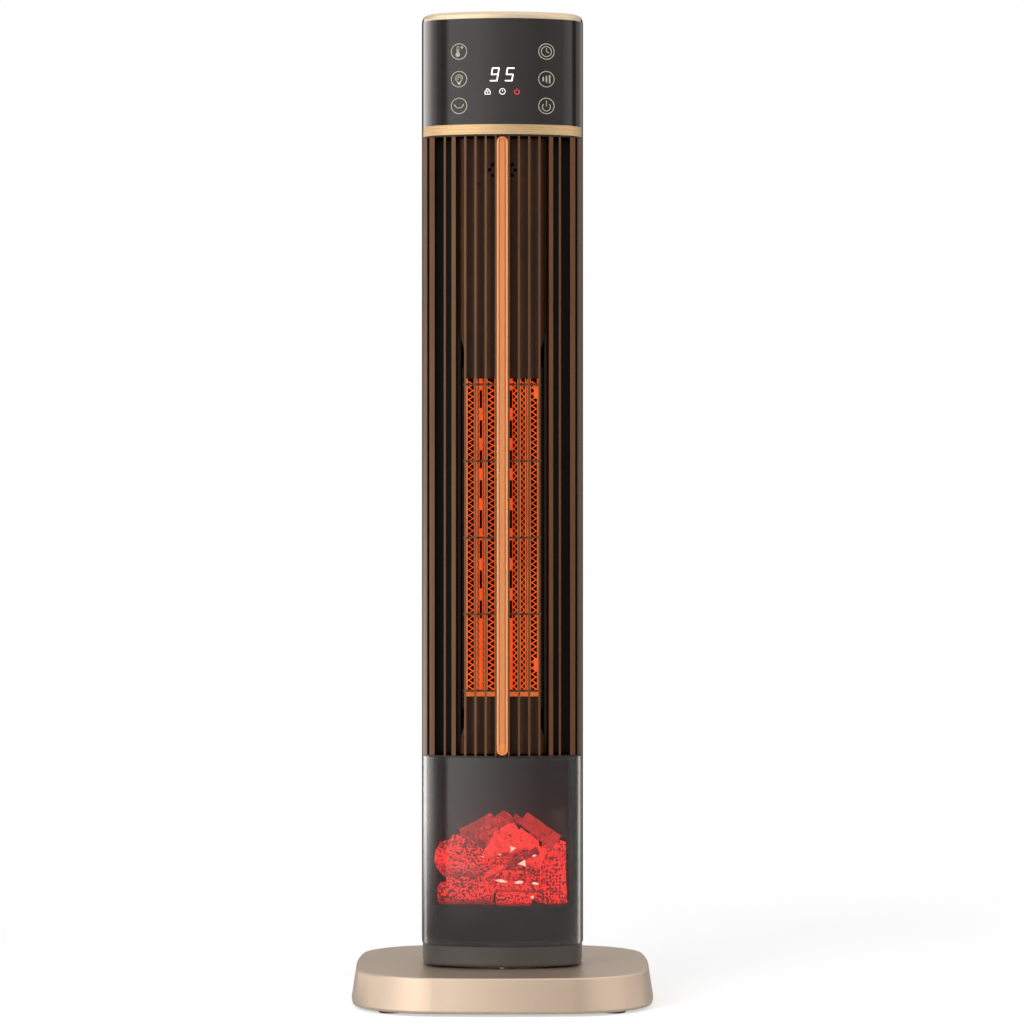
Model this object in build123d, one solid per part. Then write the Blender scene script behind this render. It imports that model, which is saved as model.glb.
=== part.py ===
from build123d import *
import os
from math import acos, atan2, cos, hypot, pi, radians, sin, sqrt, tan

# Tower space heater on a swivelling base. Millimetres, +Z up, the front faces -Y.
# The origin is on the floor, at the tower's turning axis.

# Heights of the visible sections, from the floor up
foot_height = 2.0
base_height = 26.0
swivel_gap = 1.4
collar_height = 15.5
window_height = 140.4
grille_height = 463.3
band_height = 7.3
head_height = 78.8
cap_height = 5.3

z_base = foot_height
z_base_top = z_base + base_height
z_collar = z_base_top + swivel_gap
z_window = z_collar + collar_height
z_grille = z_window + window_height
z_band = z_grille + grille_height
z_head = z_band + band_height
z_cap = z_head + head_height
z_top = z_cap + cap_height

# Plan of the tower: four arcs joined by rounded corners
tower_width = 122.0
tower_depth = 118.0
front_radius = 110.0
side_radius = 300.0
corner_radius = 24.0
shell_wall = 2.5
front_y = -tower_depth / 2

# Plan of the base, at its lower edge
base_width = 228.0
base_depth = 235.0
base_side_radius = 650.0
base_corner_radius = 65.0
base_taper = 4.0
base_wall = 2.5
base_roof = 3.0
base_top_round = 1.5
base_bottom_round = 2.0

# Clearances
slip_gap = 0.1
running_gap = 0.05
turning_gap = 0.3
press_gap = 0.02

# Cuts run past the faces that they open, and edges are picked within a small height
over = 1.0
pick = 0.01

# Underside of the base
plate_recess = 0.5
plate_thickness = 2.0
foot_radius = 9.0
foot_round = 0.6
foot_inset = 32.0
boss_radius = 4.5
boss_inset = 18.0
boss_spread = 62.0
screw_radius = 1.5
screw_head_radius = 3.0
screw_head_height = 1.6
cross_reach = 2.0
cross_half_width = 0.4
cross_depth = 0.7
base_screw_length = 10.0
screw_end_gap = 1.0
ballast_half = 72.0
ballast_thickness = 6.0
ballast_corner = 12.0
ballast_hole_radius = 16.0

z_plate = z_base + plate_recess
z_plate_top = z_plate + plate_thickness
z_roof = z_base_top - base_roof

# Cable inlet at the back of the base
gland_height = 11.5
gland_flange_radius = 6.5
gland_flange = 2.6
gland_round = 0.8
gland_barrel_radius = 4.9
gland_barrel = 8.0
gland_bore_radius = 3.6
gland_boss_radius = 8.0
gland_boss_depth = 6.0

# Tip-over switch in the base
tip_inset = 25.5
tip_half_x = 10.0
tip_half_y = 7.0
tip_height = 16.0
tip_stem_radius = 3.0
tip_stem_round = 0.8
tip_pin_radius = 2.0
tip_pin = 3.0
tip_collar_radius = 4.4
tip_collar = 1.5
tip_travel = 3.0
tip_chamber_radius = 4.8
tip_sill = 1.5
tip_lid = 1.6
tip_spring_wall = 1.2
tip_y = base_depth / 2 - tip_inset

# Swivel: hollow post, glide ring, fixed gear and motor pinion
floor_raise = 1.6
floor_thickness = 3.0
post_radius = 12.0
post_bore_radius = 7.5
post_neck_radius = 10.0
post_neck_flat = 8.8
post_flange_radius = 24.0
post_flange = 3.0
post_screw_circle = 18.5
post_screw_length = 5.0
post_screw_count = 3
post_screw_turn = 30.0
bush_wall = 2.0
hub_wall = 3.0
hub_height = 4.8
glide_inner_radius = 38.0
glide_outer_radius = 44.0
gear_module = 1.0
gear_teeth = 44
pinion_teeth = 16
pressure_angle = 20.0
gear_thickness = 5.0
tooth_backlash = 0.16
tooth_tip_share = 0.95
tooth_root_share = 1.25
flank_steps = 3
nut_thickness = 2.5
nut_flats = 25.0
stop_circle = 47.5
stop_pin_radius = 2.5
stop_pin_height = 5.0
swing_half_angle = 30.0

z_floor = z_collar + floor_raise
z_floor_top = z_floor + floor_thickness
z_hub_top = z_floor + hub_height
z_gear = z_hub_top + turning_gap
z_gear_top = z_gear + gear_thickness
z_nut_top = z_gear_top + nut_thickness
gear_pitch_radius = gear_module * gear_teeth / 2
pinion_pitch_radius = gear_module * pinion_teeth / 2
gear_distance = gear_pitch_radius + pinion_pitch_radius
bush_outer_radius = post_radius + running_gap + bush_wall

# Swing motor, hung above the pinion
motor_radius = 17.5
motor_height = 15.0
motor_lift = 0.6
motor_shaft_radius = 2.5
motor_shaft_reach = 7.0
motor_nose_radius = 5.0
motor_ear_span = 42.0
motor_ear_width = 8.0
motor_ear_thickness = 1.2
motor_plug_half_width = 7.0
motor_plug_depth = 3.0
motor_plug_inset = 2.0
motor_boss_radius = 4.0
motor_screw_length = 8.0

z_motor = z_nut_top + motor_lift

# Collar under the window
collar_inset = 0.7
collar_inner = collar_inset + shell_wall
collar_round = 3.0
ledge_width = 5.0
lip_inset = shell_wall + slip_gap
lip_wall = 1.8
lip_height = 4.0

# Flame display behind the window
tray_level = 43.1
tray_thickness = 2.5
tray_inset = 4.7
tray_wall = 2.0
tray_leg_x = 47.0
box_half_width = 51.0
box_back = 4.0
box_wall = 1.5
box_roof_gap = 0.8
led_radius = 2.5
led_count = 6
led_spacing = 14.0
led_height = 2.6
led_board_depth = 12.0
board_thickness = 1.6
log_bed_y = -26.0
mound_half_width = 46.0
mound_front = -40.0
mound_back = -14.0
mound_height = 8.0
mound_room_half_width = 42.0
mound_room_half_depth = 8.0
mound_room_height = 5.0
log_gap = 1.0
log_room_height = 75.0
log_room_back = -6.0

# Each log of the ember bed: its two ends, as (x, y, height above the tray), and its two radii
log_ends = (
    ((-44, -20, 8), (44, -20, 8), 8.0, 8.0),
    ((-46, -34, 6), (-6, -38, 7), 6.0, 6.5),
    ((4, -38, 7), (46, -32, 6), 6.5, 6.0),
    ((-45, -24, 22), (-16, -30, 26), 6.5, 7.5),
    ((-24, -20, 42), (-14, -40, 44), 7.0, 8.0),
    ((-18, -24, 54), (10, -22, 58), 6.5, 6.5),
    ((12, -26, 60), (43, -26, 44), 7.0, 6.0),
    ((-8, -34, 46), (30, -34, 26), 8.0, 6.5),
    ((-30, -32, 20), (24, -40, 36), 6.0, 5.5),
    ((14, -36, 20), (45, -28, 26), 7.0, 6.5),
    ((-6, -42, 12), (26, -40, 18), 5.0, 5.5),
    ((40, -24, 40), (44, -24, 6), 5.5, 6.0),
    ((-45.2, -30, 34), (-44.4, -30, 12), 4.8, 5.2),
    ((-20, -18, 30), (26, -18, 34), 12.0, 12.0),
)

z_tray = z_floor_top + tray_level - tray_thickness - floor_thickness
z_tray_top = z_tray + tray_thickness

# Front grille and its bright centre strip
fin_pitch = 7.62
fin_first = 4.75
fins_each_side = 7
fin_thickness = 1.5
broad_fins = {4: (34.7, 37.8), 6: (50.5, 54.4)}
fin_depth = 6.0
rim_height = 1.3
rim_depth = 6.5
stile_reach = 4.8
strip_width = 8.2
strip_end_gap = 1.9
strip_proud = 0.6
strip_thickness = 3.2
strip_border = 1.4
strip_groove = 0.8
strip_groove_width = 0.9
strip_edge_round = 0.5
keel_half_width = 3.0
strip_end_share = 0.48
rib_height = 1.5
rib_depth = 2.5
rib_setback = 1.0
rib_pitch = 57.0
rib_count = 5
rib_fin = 3

# Outlet panel behind the grille
panel_depth = 13.0
panel_half_width = 30.5
panel_wall = 2.0
panel_recess = 16.0
panel_chamfer = 2.6
panel_back_half = 50.0
panel_flange_lean = 2.0
panel_window_gap = 0.4
panel_end_gap = 1.0
notch_width = 2.5
notch_slope = 20.0
vent_radius = 1.25
vent_pitch = 4.85
vent_row = 4.0
vent_drop = 25.6
sensor_radius = 2.6
sensor_length = 5.0
sensor_lead_radius = 1.1
sensor_lead = 4.0
sensor_x = -17.1
sensor_drop = 36.0

# Heating element
heater_low = 44.9
heater_height = 237.3
heater_half_width = 27.9
heater_depth = 10.0
heater_setback = 2.0
heater_border = 2.3
rail_setback = 3.0
heater_end = 6.3
fin_period = 4.56
fin_ribbon = 0.62
fin_side_gap = 0.05
end_bar_height = 2.8
bar_rows = ((-26.9, 2.0), (-20.0, 2.7), (-12.4, 2.7), (-4.9, 2.2), (12.5, 2.7), (17.3, 0.8), (20.0, 2.7),
            (26.9, 2.0))
ptc_places = (-16.1, 6.4)
ptc_width = 2.7
slot_width = 1.9
slot_height = 13.6
slot_pitch = 22.46
slot_count = 8
slot_first = 8.4
tab_x = 25.2
tab_width = 3.4
tab_height = 9.2
tab_thickness = 0.7
tab_from_end = 19.5
cutout_size = 12.0
cutout_depth = 8.4
cutout_height = 5.0
cutout_round = 1.5

panel_y = front_y + panel_depth
heater_y = panel_y + panel_wall + heater_setback
z_heater = z_grille + heater_low
z_heater_top = z_heater + heater_height
z_scroll = z_heater - heater_end
z_scroll_top = z_heater_top + heater_end

# Blower: drum impeller in a scroll, its motor below
wheel_x = -4.0
wheel_y = 14.0
wheel_radius = 25.0
blade_length = 6.0
blade_thickness = 0.9
blade_count = 24
blade_lean = 32.0
ring_count = 7
ring_thickness = 1.4
wheel_end_gap = 4.0
hub_radius = 7.0
hub_length = 12.0
hub_hole_radius = 9.0
shaft_radius = 3.0
shaft_hole_radius = 5.0
scroll_plate = 2.5
scroll_half_width = 46.7
scroll_back = 44.0
scroll_wall = 1.8
scroll_start_gap = 3.0
scroll_growth = 13.0
scroll_start_angle = 105.0
scroll_end_angle = -48.0
scroll_steps = 9
scroll_lap = 0.5
ledge_inner = 28.9
ledge_outer = 36.0
ledge_thickness = 1.6
cutoff_x = 22.0
cutoff_y = 23.0
fan_motor_radius = 22.0
fan_motor_height = 28.0
fan_motor_round = 2.0
fan_boss_radius = 8.5
fan_boss = 1.5
fan_shaft_reach = 20.0
bearing_radius = 8.0
bearing_flange_radius = 12.0
bearing_flange = 2.0
bearing_height = 9.0
bearing_cap = 2.0
shaft_end_gap = 1.0

# Wire loom from the swivel post up to the main board
loom_radius = 2.5
loom_bend = 9.0
loom_x = 40.5
loom_hole_radius = 4.0
loom_end_x = 28.0
loom_step = 15.0

# Rear housing, its grille, grip and fasteners
tongue_wall = 1.6
tongue_reach = 4.0
tongue_root = 6.0
tongue_lap = 1.0
rear_top_round = 3.2
rear_top_drop = 0.2
grille_half_width = 38.0
intake_low = 28.0
intake_height = 270.0
louvre_height = 3.0
louvre_pitch = 6.0
louvre_margin = 6.0
louvre_mullion = 5.0
louvre_recess = 0.4
grip_half_width = 40.0
grip_height = 28.0
grip_drop = 30.0
grip_depth = 22.0
grip_wall = 2.0
rail_thickness = 2.0
rail_x = 47.0
rail_front_gap = 0.3
rail_end_gap = 1.0
rail_depth = 56.0
rail_boss_root = 8.0
post_x = 44.0
rear_boss_radius = 5.2
rear_boss_y = 36.0
rear_shoulder = 8.0
rear_screw_length = 20.0
rear_screw_levels = (20.0, 232.0, 454.0)

# Rocker switch low on the back
rocker_level = 60.0
rocker_half_x = 7.0
rocker_half_z = 10.0
rocker_bezel = 2.2
rocker_bezel_proud = 1.6
rocker_bezel_round = 1.2
rocker_body_depth = 20.0
rocker_pivot_depth = 3.2
rocker_swing = 16.0
rocker_well = 8.0
rocker_frame_wall = 1.4
rocker_side_gap = 0.5
rocker_pin_radius = 1.0
rocker_keel = 3.4
rocker_keel_half = 2.5

# Head: control panel, boards and cap
control_board_depth = 17.0
control_board_half_width = 43.0
control_board_margin = 3.0
receiver_half_width = 3.0
receiver_depth = 4.0
receiver_height = 6.0
receiver_drop = 5.0
display_half_width = 21.0
display_height = 34.0
display_centre = 36.0
icon_x = 32.5
icon_levels = (14.0, 33.9, 54.4)
touch_spring_radius = 4.5
touch_spring_wall = 0.8
panel_post_radius = 2.4
panel_post_x = 39.0
panel_post_inset = 7.0
rim_width = 4.0
rim_inset = 0.5
rim_round = 3.3
top_plate_drop = 0.8
top_plate_gap = 0.3
top_plate_lap = 2.0
main_board_half_width = 40.0
main_board_height = 130.0
main_board_rise = 26.0
main_board_stand = 14.0
board_post_radius = 3.0
board_post_inset = 6.0
capacitor_radius = 6.0
capacitor_length = 22.0
capacitor_x = 10.0
capacitor_rise = 102.0
buzzer_radius = 6.0
buzzer_depth = 7.0
buzzer_x = -20.0
buzzer_rise = 104.0
buzzer_port_radius = 1.0
buzzer_port_depth = 2.0

# Main board parts: centre x, height above the board's lower edge, half sizes in x and z, depth
board_part_sizes = (
    (-24.0, 28.0, 9.0, 10.0, 16.0),
    (-2.0, 28.0, 9.0, 10.0, 16.0),
    (22.0, 26.0, 8.0, 13.0, 14.0),
    (-22.0, 68.0, 11.0, 13.0, 20.0),
    (6.0, 64.0, 8.0, 8.0, 12.0),
    (26.0, 72.0, 6.0, 12.0, 9.0),
)


def corner_centre(half_x, half_y, radius_x, radius_y, corner):
    """Centre of the corner arc that touches the side arc and the front arc from inside."""
    ax = half_x - radius_x
    by = half_y - radius_y
    ra = radius_x - corner
    rb = radius_y - corner
    span = hypot(ax, by)
    along = (ra * ra - rb * rb + span * span) / (2 * span)
    across = sqrt(ra * ra - along * along)
    ux = -ax / span
    uy = by / span
    x = ax + along * ux - across * uy
    y = along * uy + across * ux
    if x < 0 or y < 0:
        x = ax + along * ux + across * uy
        y = along * uy - across * ux
    return x, y


class Plan:
    """Closed outline of four shallow arcs and four corner arcs, with a parallel inset."""

    def __init__(self, width, depth, radius_x, radius_y, corner):
        self.half_x = width / 2
        self.half_y = depth / 2
        self.radius_x = radius_x
        self.radius_y = radius_y
        self.corner = corner
        self.cx, self.cy = corner_centre(self.half_x, self.half_y, radius_x, radius_y, corner)
        self.side_x = self.half_x - radius_x
        self.end_y = self.half_y - radius_y

    def tangents(self, inset=0.0):
        """Points where the corner arc meets the side arc and the end arc."""
        run = hypot(self.cx - self.side_x, self.cy)
        scale = (self.radius_x - inset) / run
        side = (self.side_x + (self.cx - self.side_x) * scale, self.cy * scale)
        rise = hypot(self.cx, self.cy - self.end_y)
        scale = (self.radius_y - inset) / rise
        end = (self.cx * scale, self.end_y + (self.cy - self.end_y) * scale)
        return side, end

    def face(self, inset=0.0, z=0.0):
        """Flat face of the outline, moved in by inset, at height z."""
        (sx, sy), (ex, ey) = self.tangents(inset)
        mid = atan2(sy - self.cy + ey - self.cy, sx - self.cx + ex - self.cx)
        mx = self.cx + (self.corner - inset) * cos(mid)
        my = self.cy + (self.corner - inset) * sin(mid)
        far_x = self.half_x - inset
        far_y = self.half_y - inset
        edges = [
            Edge.make_three_point_arc((sx, -sy, z), (far_x, 0, z), (sx, sy, z)),
            Edge.make_three_point_arc((sx, sy, z), (mx, my, z), (ex, ey, z)),
            Edge.make_three_point_arc((ex, ey, z), (0, far_y, z), (-ex, ey, z)),
            Edge.make_three_point_arc((-ex, ey, z), (-mx, my, z), (-sx, sy, z)),
            Edge.make_three_point_arc((-sx, sy, z), (-far_x, 0, z), (-sx, -sy, z)),
            Edge.make_three_point_arc((-sx, -sy, z), (-mx, -my, z), (-ex, -ey, z)),
            Edge.make_three_point_arc((-ex, -ey, z), (0, -far_y, z), (ex, -ey, z)),
            Edge.make_three_point_arc((ex, -ey, z), (mx, -my, z), (sx, -sy, z)),
        ]
        return Face(Wire(edges))

    def prism(self, inset, z0, z1):
        """Upright solid inside the outline."""
        return extrude(self.face(inset, z0), z1 - z0, dir=(0, 0, 1))

    def ring(self, outer, inner, z0, z1):
        """Upright wall between two insets of the outline."""
        return self.prism(outer, z0, z1) - self.prism(inner, z0, z1)

    def front_depth(self, x):
        """Y of the front edge at x."""
        if abs(x) <= self.tangents()[1][0]:
            return -self.end_y - sqrt(self.radius_y ** 2 - x * x)
        return -self.cy - sqrt(max(0.0, self.corner ** 2 - (abs(x) - self.cx) ** 2))


tower = Plan(tower_width, tower_depth, side_radius, front_radius, corner_radius)
base = Plan(base_width, base_depth, base_side_radius, base_side_radius, base_corner_radius)
seam_y = -tower.tangents()[0][1]
big = base_width + base_depth


def block(x0, x1, y0, y1, z0, z1):
    """Box between two corners."""
    return Pos((x0 + x1) / 2, (y0 + y1) / 2, (z0 + z1) / 2) * Box(x1 - x0, y1 - y0, z1 - z0)


def rod(radius, z0, z1, x=0.0, y=0.0):
    """Upright cylinder."""
    return Pos(x, y, (z0 + z1) / 2) * Cylinder(radius, z1 - z0)


def tube(outer, inner, z0, z1, x=0.0, y=0.0):
    """Upright tube."""
    return rod(outer, z0, z1, x, y) - rod(inner, z0, z1, x, y)


def rod_y(radius, y0, y1, x, z):
    """Cylinder along Y."""
    return Pos(x, (y0 + y1) / 2, z) * Rot(90, 0, 0) * Cylinder(radius, y1 - y0)


def ahead_of(y):
    """Half space in front of y."""
    return block(-big, big, -big, y, -big, z_top + big)


def behind(y):
    """Half space behind y."""
    return block(-big, big, y, big, -big, z_top + big)


def ribbon_profile(points, thickness):
    """Flat strip of even thickness, to the left of an open run of plan points."""
    count = len(points)
    offset = []
    for i, (x, y) in enumerate(points):
        normals = []
        for j in (i - 1, i):
            if 0 <= j < count - 1:
                dx = points[j + 1][0] - points[j][0]
                dy = points[j + 1][1] - points[j][1]
                size = hypot(dx, dy)
                normals.append((-dy / size, dx / size))
        nx = sum(n[0] for n in normals)
        ny = sum(n[1] for n in normals)
        size = hypot(nx, ny)
        nx /= size
        ny /= size
        stretch = thickness / (nx * normals[0][0] + ny * normals[0][1])
        offset.append((x + nx * stretch, y + ny * stretch))
    return Face(Wire.make_polygon([(x, y, 0) for x, y in list(points) + offset[::-1]]))


def upright(face, z0, z1):
    """Extrude a plan face from z0 to z1."""
    return Pos(0, 0, z0) * extrude(face, z1 - z0, dir=(0, 0, 1))


def screw_up(x, y, z_seat, length):
    """Screw with its head under z_seat and its shank pointing up."""
    low = z_seat - screw_head_height
    head = rod(screw_head_radius, low, z_seat, x, y)
    for half_x, half_y in ((cross_reach, cross_half_width), (cross_half_width, cross_reach)):
        head -= block(x - half_x, x + half_x, y - half_y, y + half_y, low, low + cross_depth)
    return head + rod(screw_radius, z_seat, z_seat + length, x, y)


def screw_down(x, y, z_seat, length):
    """Screw with its head on z_seat and its shank pointing down."""
    head = rod(screw_head_radius, z_seat, z_seat + screw_head_height, x, y)
    return head + rod(screw_radius, z_seat - length, z_seat, x, y)


def group(solids):
    """Several separate solids that share one node."""
    return Compound([s for part in solids for s in part.solids()])


# Base

def base_form(inset, z0, z1):
    """Tapered solid of the base between two heights."""
    low = inset + base_taper * (z0 - z_base) / base_height
    high = inset + base_taper * (z1 - z_base) / base_height
    return loft([base.face(low, z0), base.face(high, z1)], ruled=True)


def base_boss_places():
    """Six screw places around the base."""
    x = base_width / 2 - boss_inset
    y = base_depth / 2 - boss_inset
    spread = boss_spread
    return [(sx * spread, sy * y) for sx in (-1, 1) for sy in (-1, 1)] + [(-x, 0), (x, 0)]


def gland_seat_y():
    """Depth of the flat seat that the cable gland's flange rests on."""
    outer = base_depth / 2 - base_taper * (gland_height + gland_flange_radius) / base_height
    return outer - slip_gap


def make_base_shell():
    outer = base_form(0, z_base, z_base_top)
    top_edges = outer.edges().filter_by_position(Axis.Z, z_base_top - pick, z_base_top + pick)
    outer = fillet(top_edges, base_top_round)
    low_edges = outer.edges().filter_by_position(Axis.Z, z_base - pick, z_base + pick)
    outer = fillet(low_edges, base_bottom_round)
    shell = outer - base_form(base_wall, z_base - over, z_roof)
    for x, y in base_boss_places():
        shell += rod(boss_radius, z_plate_top, z_roof + base_roof / 2, x, y)
        shell -= rod(screw_radius + running_gap, z_plate_top, z_plate_top + base_screw_length, x, y)
    shell -= rod(post_radius + slip_gap, z_roof - over, z_base_top + over)
    screw_end = z_roof - post_flange + post_screw_length + slip_gap
    for x, y in post_screw_places():
        shell -= rod(screw_radius + running_gap, z_roof - over, screw_end, x, y)
    shell += rod(stop_pin_radius, z_base_top - base_roof / 2, z_base_top + stop_pin_height, 0, -stop_circle)
    seat = gland_seat_y()
    z = z_base + gland_height
    boss = rod_y(gland_boss_radius, seat - gland_boss_depth, seat + base_wall, 0, z)
    shell += boss & base_form(base_wall / 2, z_base, z_base_top)
    shell -= rod_y(gland_flange_radius + slip_gap, seat, base_depth, 0, z)
    shell -= rod_y(gland_barrel_radius + slip_gap, seat - base_wall - gland_barrel, seat + over, 0, z)
    return shell


def make_base_bottom_plate():
    inset = base_wall + base_taper * (z_plate_top - z_base) / base_height + 2 * slip_gap
    plate = base.prism(inset, z_plate, z_plate_top)
    for x, y in base_boss_places():
        plate -= rod(screw_radius + slip_gap, z_plate - over, z_plate_top + over, x, y)
    plate -= rod(tip_stem_radius + turning_gap, z_plate - over, z_plate_top + over, 0, tip_y)
    return plate


def make_ballast_plate():
    half = ballast_half
    z1 = z_plate_top + ballast_thickness
    plate = block(-half, half, -half, half, z_plate_top, z1)
    plate = fillet(plate.edges().filter_by(Axis.Z), ballast_corner)
    return plate - rod(ballast_hole_radius, z_plate_top - over, z1 + over)


def make_rubber_feet():
    x = base_width / 2 - foot_inset
    y = base_depth / 2 - foot_inset
    foot = rod(foot_radius, 0, z_plate)
    foot = fillet(foot.edges().group_by(Axis.Z)[0], foot_round)
    return group([Pos(sx * x, sy * y, 0) * foot for sx in (-1, 1) for sy in (-1, 1)])


def make_base_screws():
    return group([screw_up(x, y, z_plate, plate_thickness + base_screw_length - screw_end_gap)
                  for x, y in base_boss_places()])


def make_cord_gland():
    seat = gland_seat_y()
    z = z_base + gland_height
    gland = rod_y(gland_flange_radius, seat, seat + gland_flange, 0, z)
    gland = fillet(gland.edges().group_by(Axis.Y)[-1], gland_round)
    gland += rod_y(gland_barrel_radius, seat - gland_barrel, seat, 0, z)
    return gland - rod_y(gland_bore_radius, seat - gland_barrel - over, seat + gland_flange + over, 0, z)


def tip_levels():
    """Heights inside the tip-over switch: chamber floor, collar and chamber roof."""
    floor = z_plate_top + tip_sill
    collar = floor + tip_travel + turning_gap
    roof = z_plate_top + tip_height - tip_lid
    return floor, collar, roof


def make_tip_switch():
    floor, _, roof = tip_levels()
    body = block(-tip_half_x, tip_half_x, tip_y - tip_half_y, tip_y + tip_half_y,
                 z_plate_top, z_plate_top + tip_height)
    body -= rod(tip_stem_radius + running_gap, z_plate_top - over, floor + over, 0, tip_y)
    return body - rod(tip_chamber_radius, floor, roof, 0, tip_y)


def make_tip_plunger():
    _, collar, _ = tip_levels()
    stem = rod(tip_stem_radius, 0, collar, 0, tip_y)
    stem = fillet(stem.edges().group_by(Axis.Z)[0], tip_stem_round)
    stem += rod(tip_collar_radius, collar, collar + tip_collar, 0, tip_y)
    return stem + rod(tip_pin_radius, collar, collar + tip_collar + tip_pin, 0, tip_y)


def make_tip_spring():
    _, collar, roof = tip_levels()
    outer = tip_collar_radius - slip_gap
    return tube(outer, outer - tip_spring_wall, collar + tip_collar, roof, 0, tip_y)


# Swivel

def post_screw_places():
    """Screws that hold the post's flange under the base's roof."""
    angles = [radians(post_screw_turn + 360 / post_screw_count * i) for i in range(post_screw_count)]
    return [(post_screw_circle * cos(angle), post_screw_circle * sin(angle)) for angle in angles]


def neck(radius, flat, z0, z1):
    """Round neck with two flats, which keeps the gear from turning."""
    return rod(radius, z0, z1) & block(-flat, flat, -radius, radius, z0, z1)


def make_pivot_post():
    post = rod(post_flange_radius, z_roof - post_flange, z_roof)
    post += rod(post_radius, z_roof - post_flange, z_gear)
    post += neck(post_neck_radius, post_neck_flat, z_gear, z_nut_top)
    post -= rod(post_bore_radius, z_roof - post_flange - over, z_nut_top + over)
    for x, y in post_screw_places():
        post -= rod(screw_radius + slip_gap, z_roof - post_flange - over, z_roof + over, x, y)
    return post


def make_pivot_screws():
    seat = z_roof - post_flange
    return group([screw_up(x, y, seat, post_screw_length) for x, y in post_screw_places()])


def make_glide_ring():
    return tube(glide_outer_radius, glide_inner_radius, z_base_top, z_floor - slip_gap)


def gear_points(teeth, turn):
    """Outline points of a spur gear with a tooth centred on the angle turn, in radians."""
    pitch = gear_module * teeth / 2
    base_circle = pitch * cos(radians(pressure_angle))
    tip = pitch + tooth_tip_share * gear_module
    root = pitch - tooth_root_share * gear_module
    start = max(base_circle, root)
    flare = tan(radians(pressure_angle)) - radians(pressure_angle)
    half = pi / (2 * teeth) - tooth_backlash / (2 * pitch) + flare
    flank = []
    for i in range(flank_steps + 1):
        r = start + (tip - start) * i / flank_steps
        roll = acos(base_circle / r)
        flank.append((r, half - (tan(roll) - roll)))
    if root < start:
        flank.insert(0, (root, flank[0][1]))
    points = []
    for tooth in range(teeth):
        centre = turn + 2 * pi * tooth / teeth
        points += [(r, centre - a) for r, a in flank]
        points += [(r, centre + a) for r, a in reversed(flank)]
    return [(r * cos(a), r * sin(a), 0) for r, a in points]


def gear_solid(teeth, turn, z0, z1):
    return upright(Face(Wire.make_polygon(gear_points(teeth, turn))), z0, z1)


def make_swivel_gear():
    gear = gear_solid(gear_teeth, pi / 2, z_gear, z_gear_top)
    gap = running_gap
    return gear - neck(post_neck_radius + gap, post_neck_flat + gap, z_gear - over, z_gear_top + over)


def make_gear_nut():
    flats = extrude(RegularPolygon(nut_flats / 2, 6, major_radius=False), nut_thickness)
    hole = rod(post_neck_radius + running_gap, z_gear_top - over, z_nut_top + over)
    return Pos(0, 0, z_gear_top) * flats - hole


def make_pinion():
    turn = -pi / 2 + pi / pinion_teeth
    gear = Pos(0, gear_distance, 0) * gear_solid(pinion_teeth, turn, z_gear, z_gear_top)
    return gear - rod(motor_shaft_radius + press_gap, z_gear - over, z_gear_top + over, 0, gear_distance)


def make_motor_shaft():
    return rod(motor_shaft_radius, z_gear, z_motor + motor_shaft_reach, 0, gear_distance)


def motor_ear_places():
    return [(side * motor_ear_span / 2, gear_distance) for side in (-1, 1)]


def make_swing_motor():
    y = gear_distance
    body = rod(motor_radius, z_motor, z_motor + motor_height, 0, y)
    half = motor_ear_span / 2 + motor_ear_width / 2
    ears = block(-half, half, y - motor_ear_width / 2, y + motor_ear_width / 2,
                 z_motor, z_motor + motor_ear_thickness)
    ears = fillet(ears.edges().filter_by(Axis.Z), motor_ear_width / 2 - 0.1)
    body += ears
    body += rod(motor_nose_radius, z_gear_top + turning_gap, z_motor, 0, y)
    inset = motor_plug_inset
    body += block(-motor_plug_half_width, motor_plug_half_width, y + motor_radius - inset,
                  y + motor_radius + motor_plug_depth, z_motor + inset, z_motor + motor_height - inset)
    body -= rod(motor_shaft_radius + running_gap, z_gear_top, z_motor + motor_shaft_reach + over, 0, y)
    for x, ear_y in motor_ear_places():
        body -= rod(screw_radius + slip_gap, z_motor - over, z_motor + motor_ear_thickness + over, x, ear_y)
    return body


def make_motor_screws():
    seat = z_motor + motor_ear_thickness
    return group([screw_down(x, y, seat, motor_screw_length) for x, y in motor_ear_places()])


def make_swivel_bush():
    return tube(bush_outer_radius, post_radius + running_gap, z_floor, z_hub_top)


def make_lower_collar():
    outer = tower.prism(collar_inset, z_collar, z_window)
    edges = outer.edges().filter_by_position(Axis.Z, z_collar - pick, z_collar + pick)
    outer = fillet(edges, collar_round)
    ring = outer - tower.prism(collar_inner, z_floor, z_window + over)
    ring -= tower.prism(collar_inner + ledge_width, z_collar - over, z_floor + over)
    ring += tower.ring(lip_inset, lip_inset + lip_wall, z_window - lip_height, z_window + lip_height)
    return ring


def make_turret_floor():
    floor = tower.prism(collar_inner + slip_gap, z_floor, z_floor_top)
    floor += rod(bush_outer_radius + running_gap + hub_wall, z_floor, z_hub_top)
    floor -= rod(bush_outer_radius + running_gap, z_floor - over, z_hub_top + over)
    for x, y in motor_ear_places():
        floor += rod(motor_boss_radius, z_floor, z_motor, x, y)
        floor -= rod(screw_radius + running_gap, z_motor - motor_screw_length, z_motor + over, x, y)
    reach = stop_pin_radius + turning_gap
    arc = tube(stop_circle + reach, stop_circle - reach, z_floor - over, z_floor_top + over)
    swing = radians(swing_half_angle)
    far = 2 * stop_circle
    wedge = Face(Wire.make_polygon([(0, 0, 0), (-far * sin(swing), -far * cos(swing), 0),
                                    (far * sin(swing), -far * cos(swing), 0)]))
    slot = arc & upright(wedge, z_floor - over, z_floor_top + over)
    for side in (-1, 1):
        slot += rod(reach, z_floor - over, z_floor_top + over,
                    side * stop_circle * sin(swing), -stop_circle * cos(swing))
    return floor - slot


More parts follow.
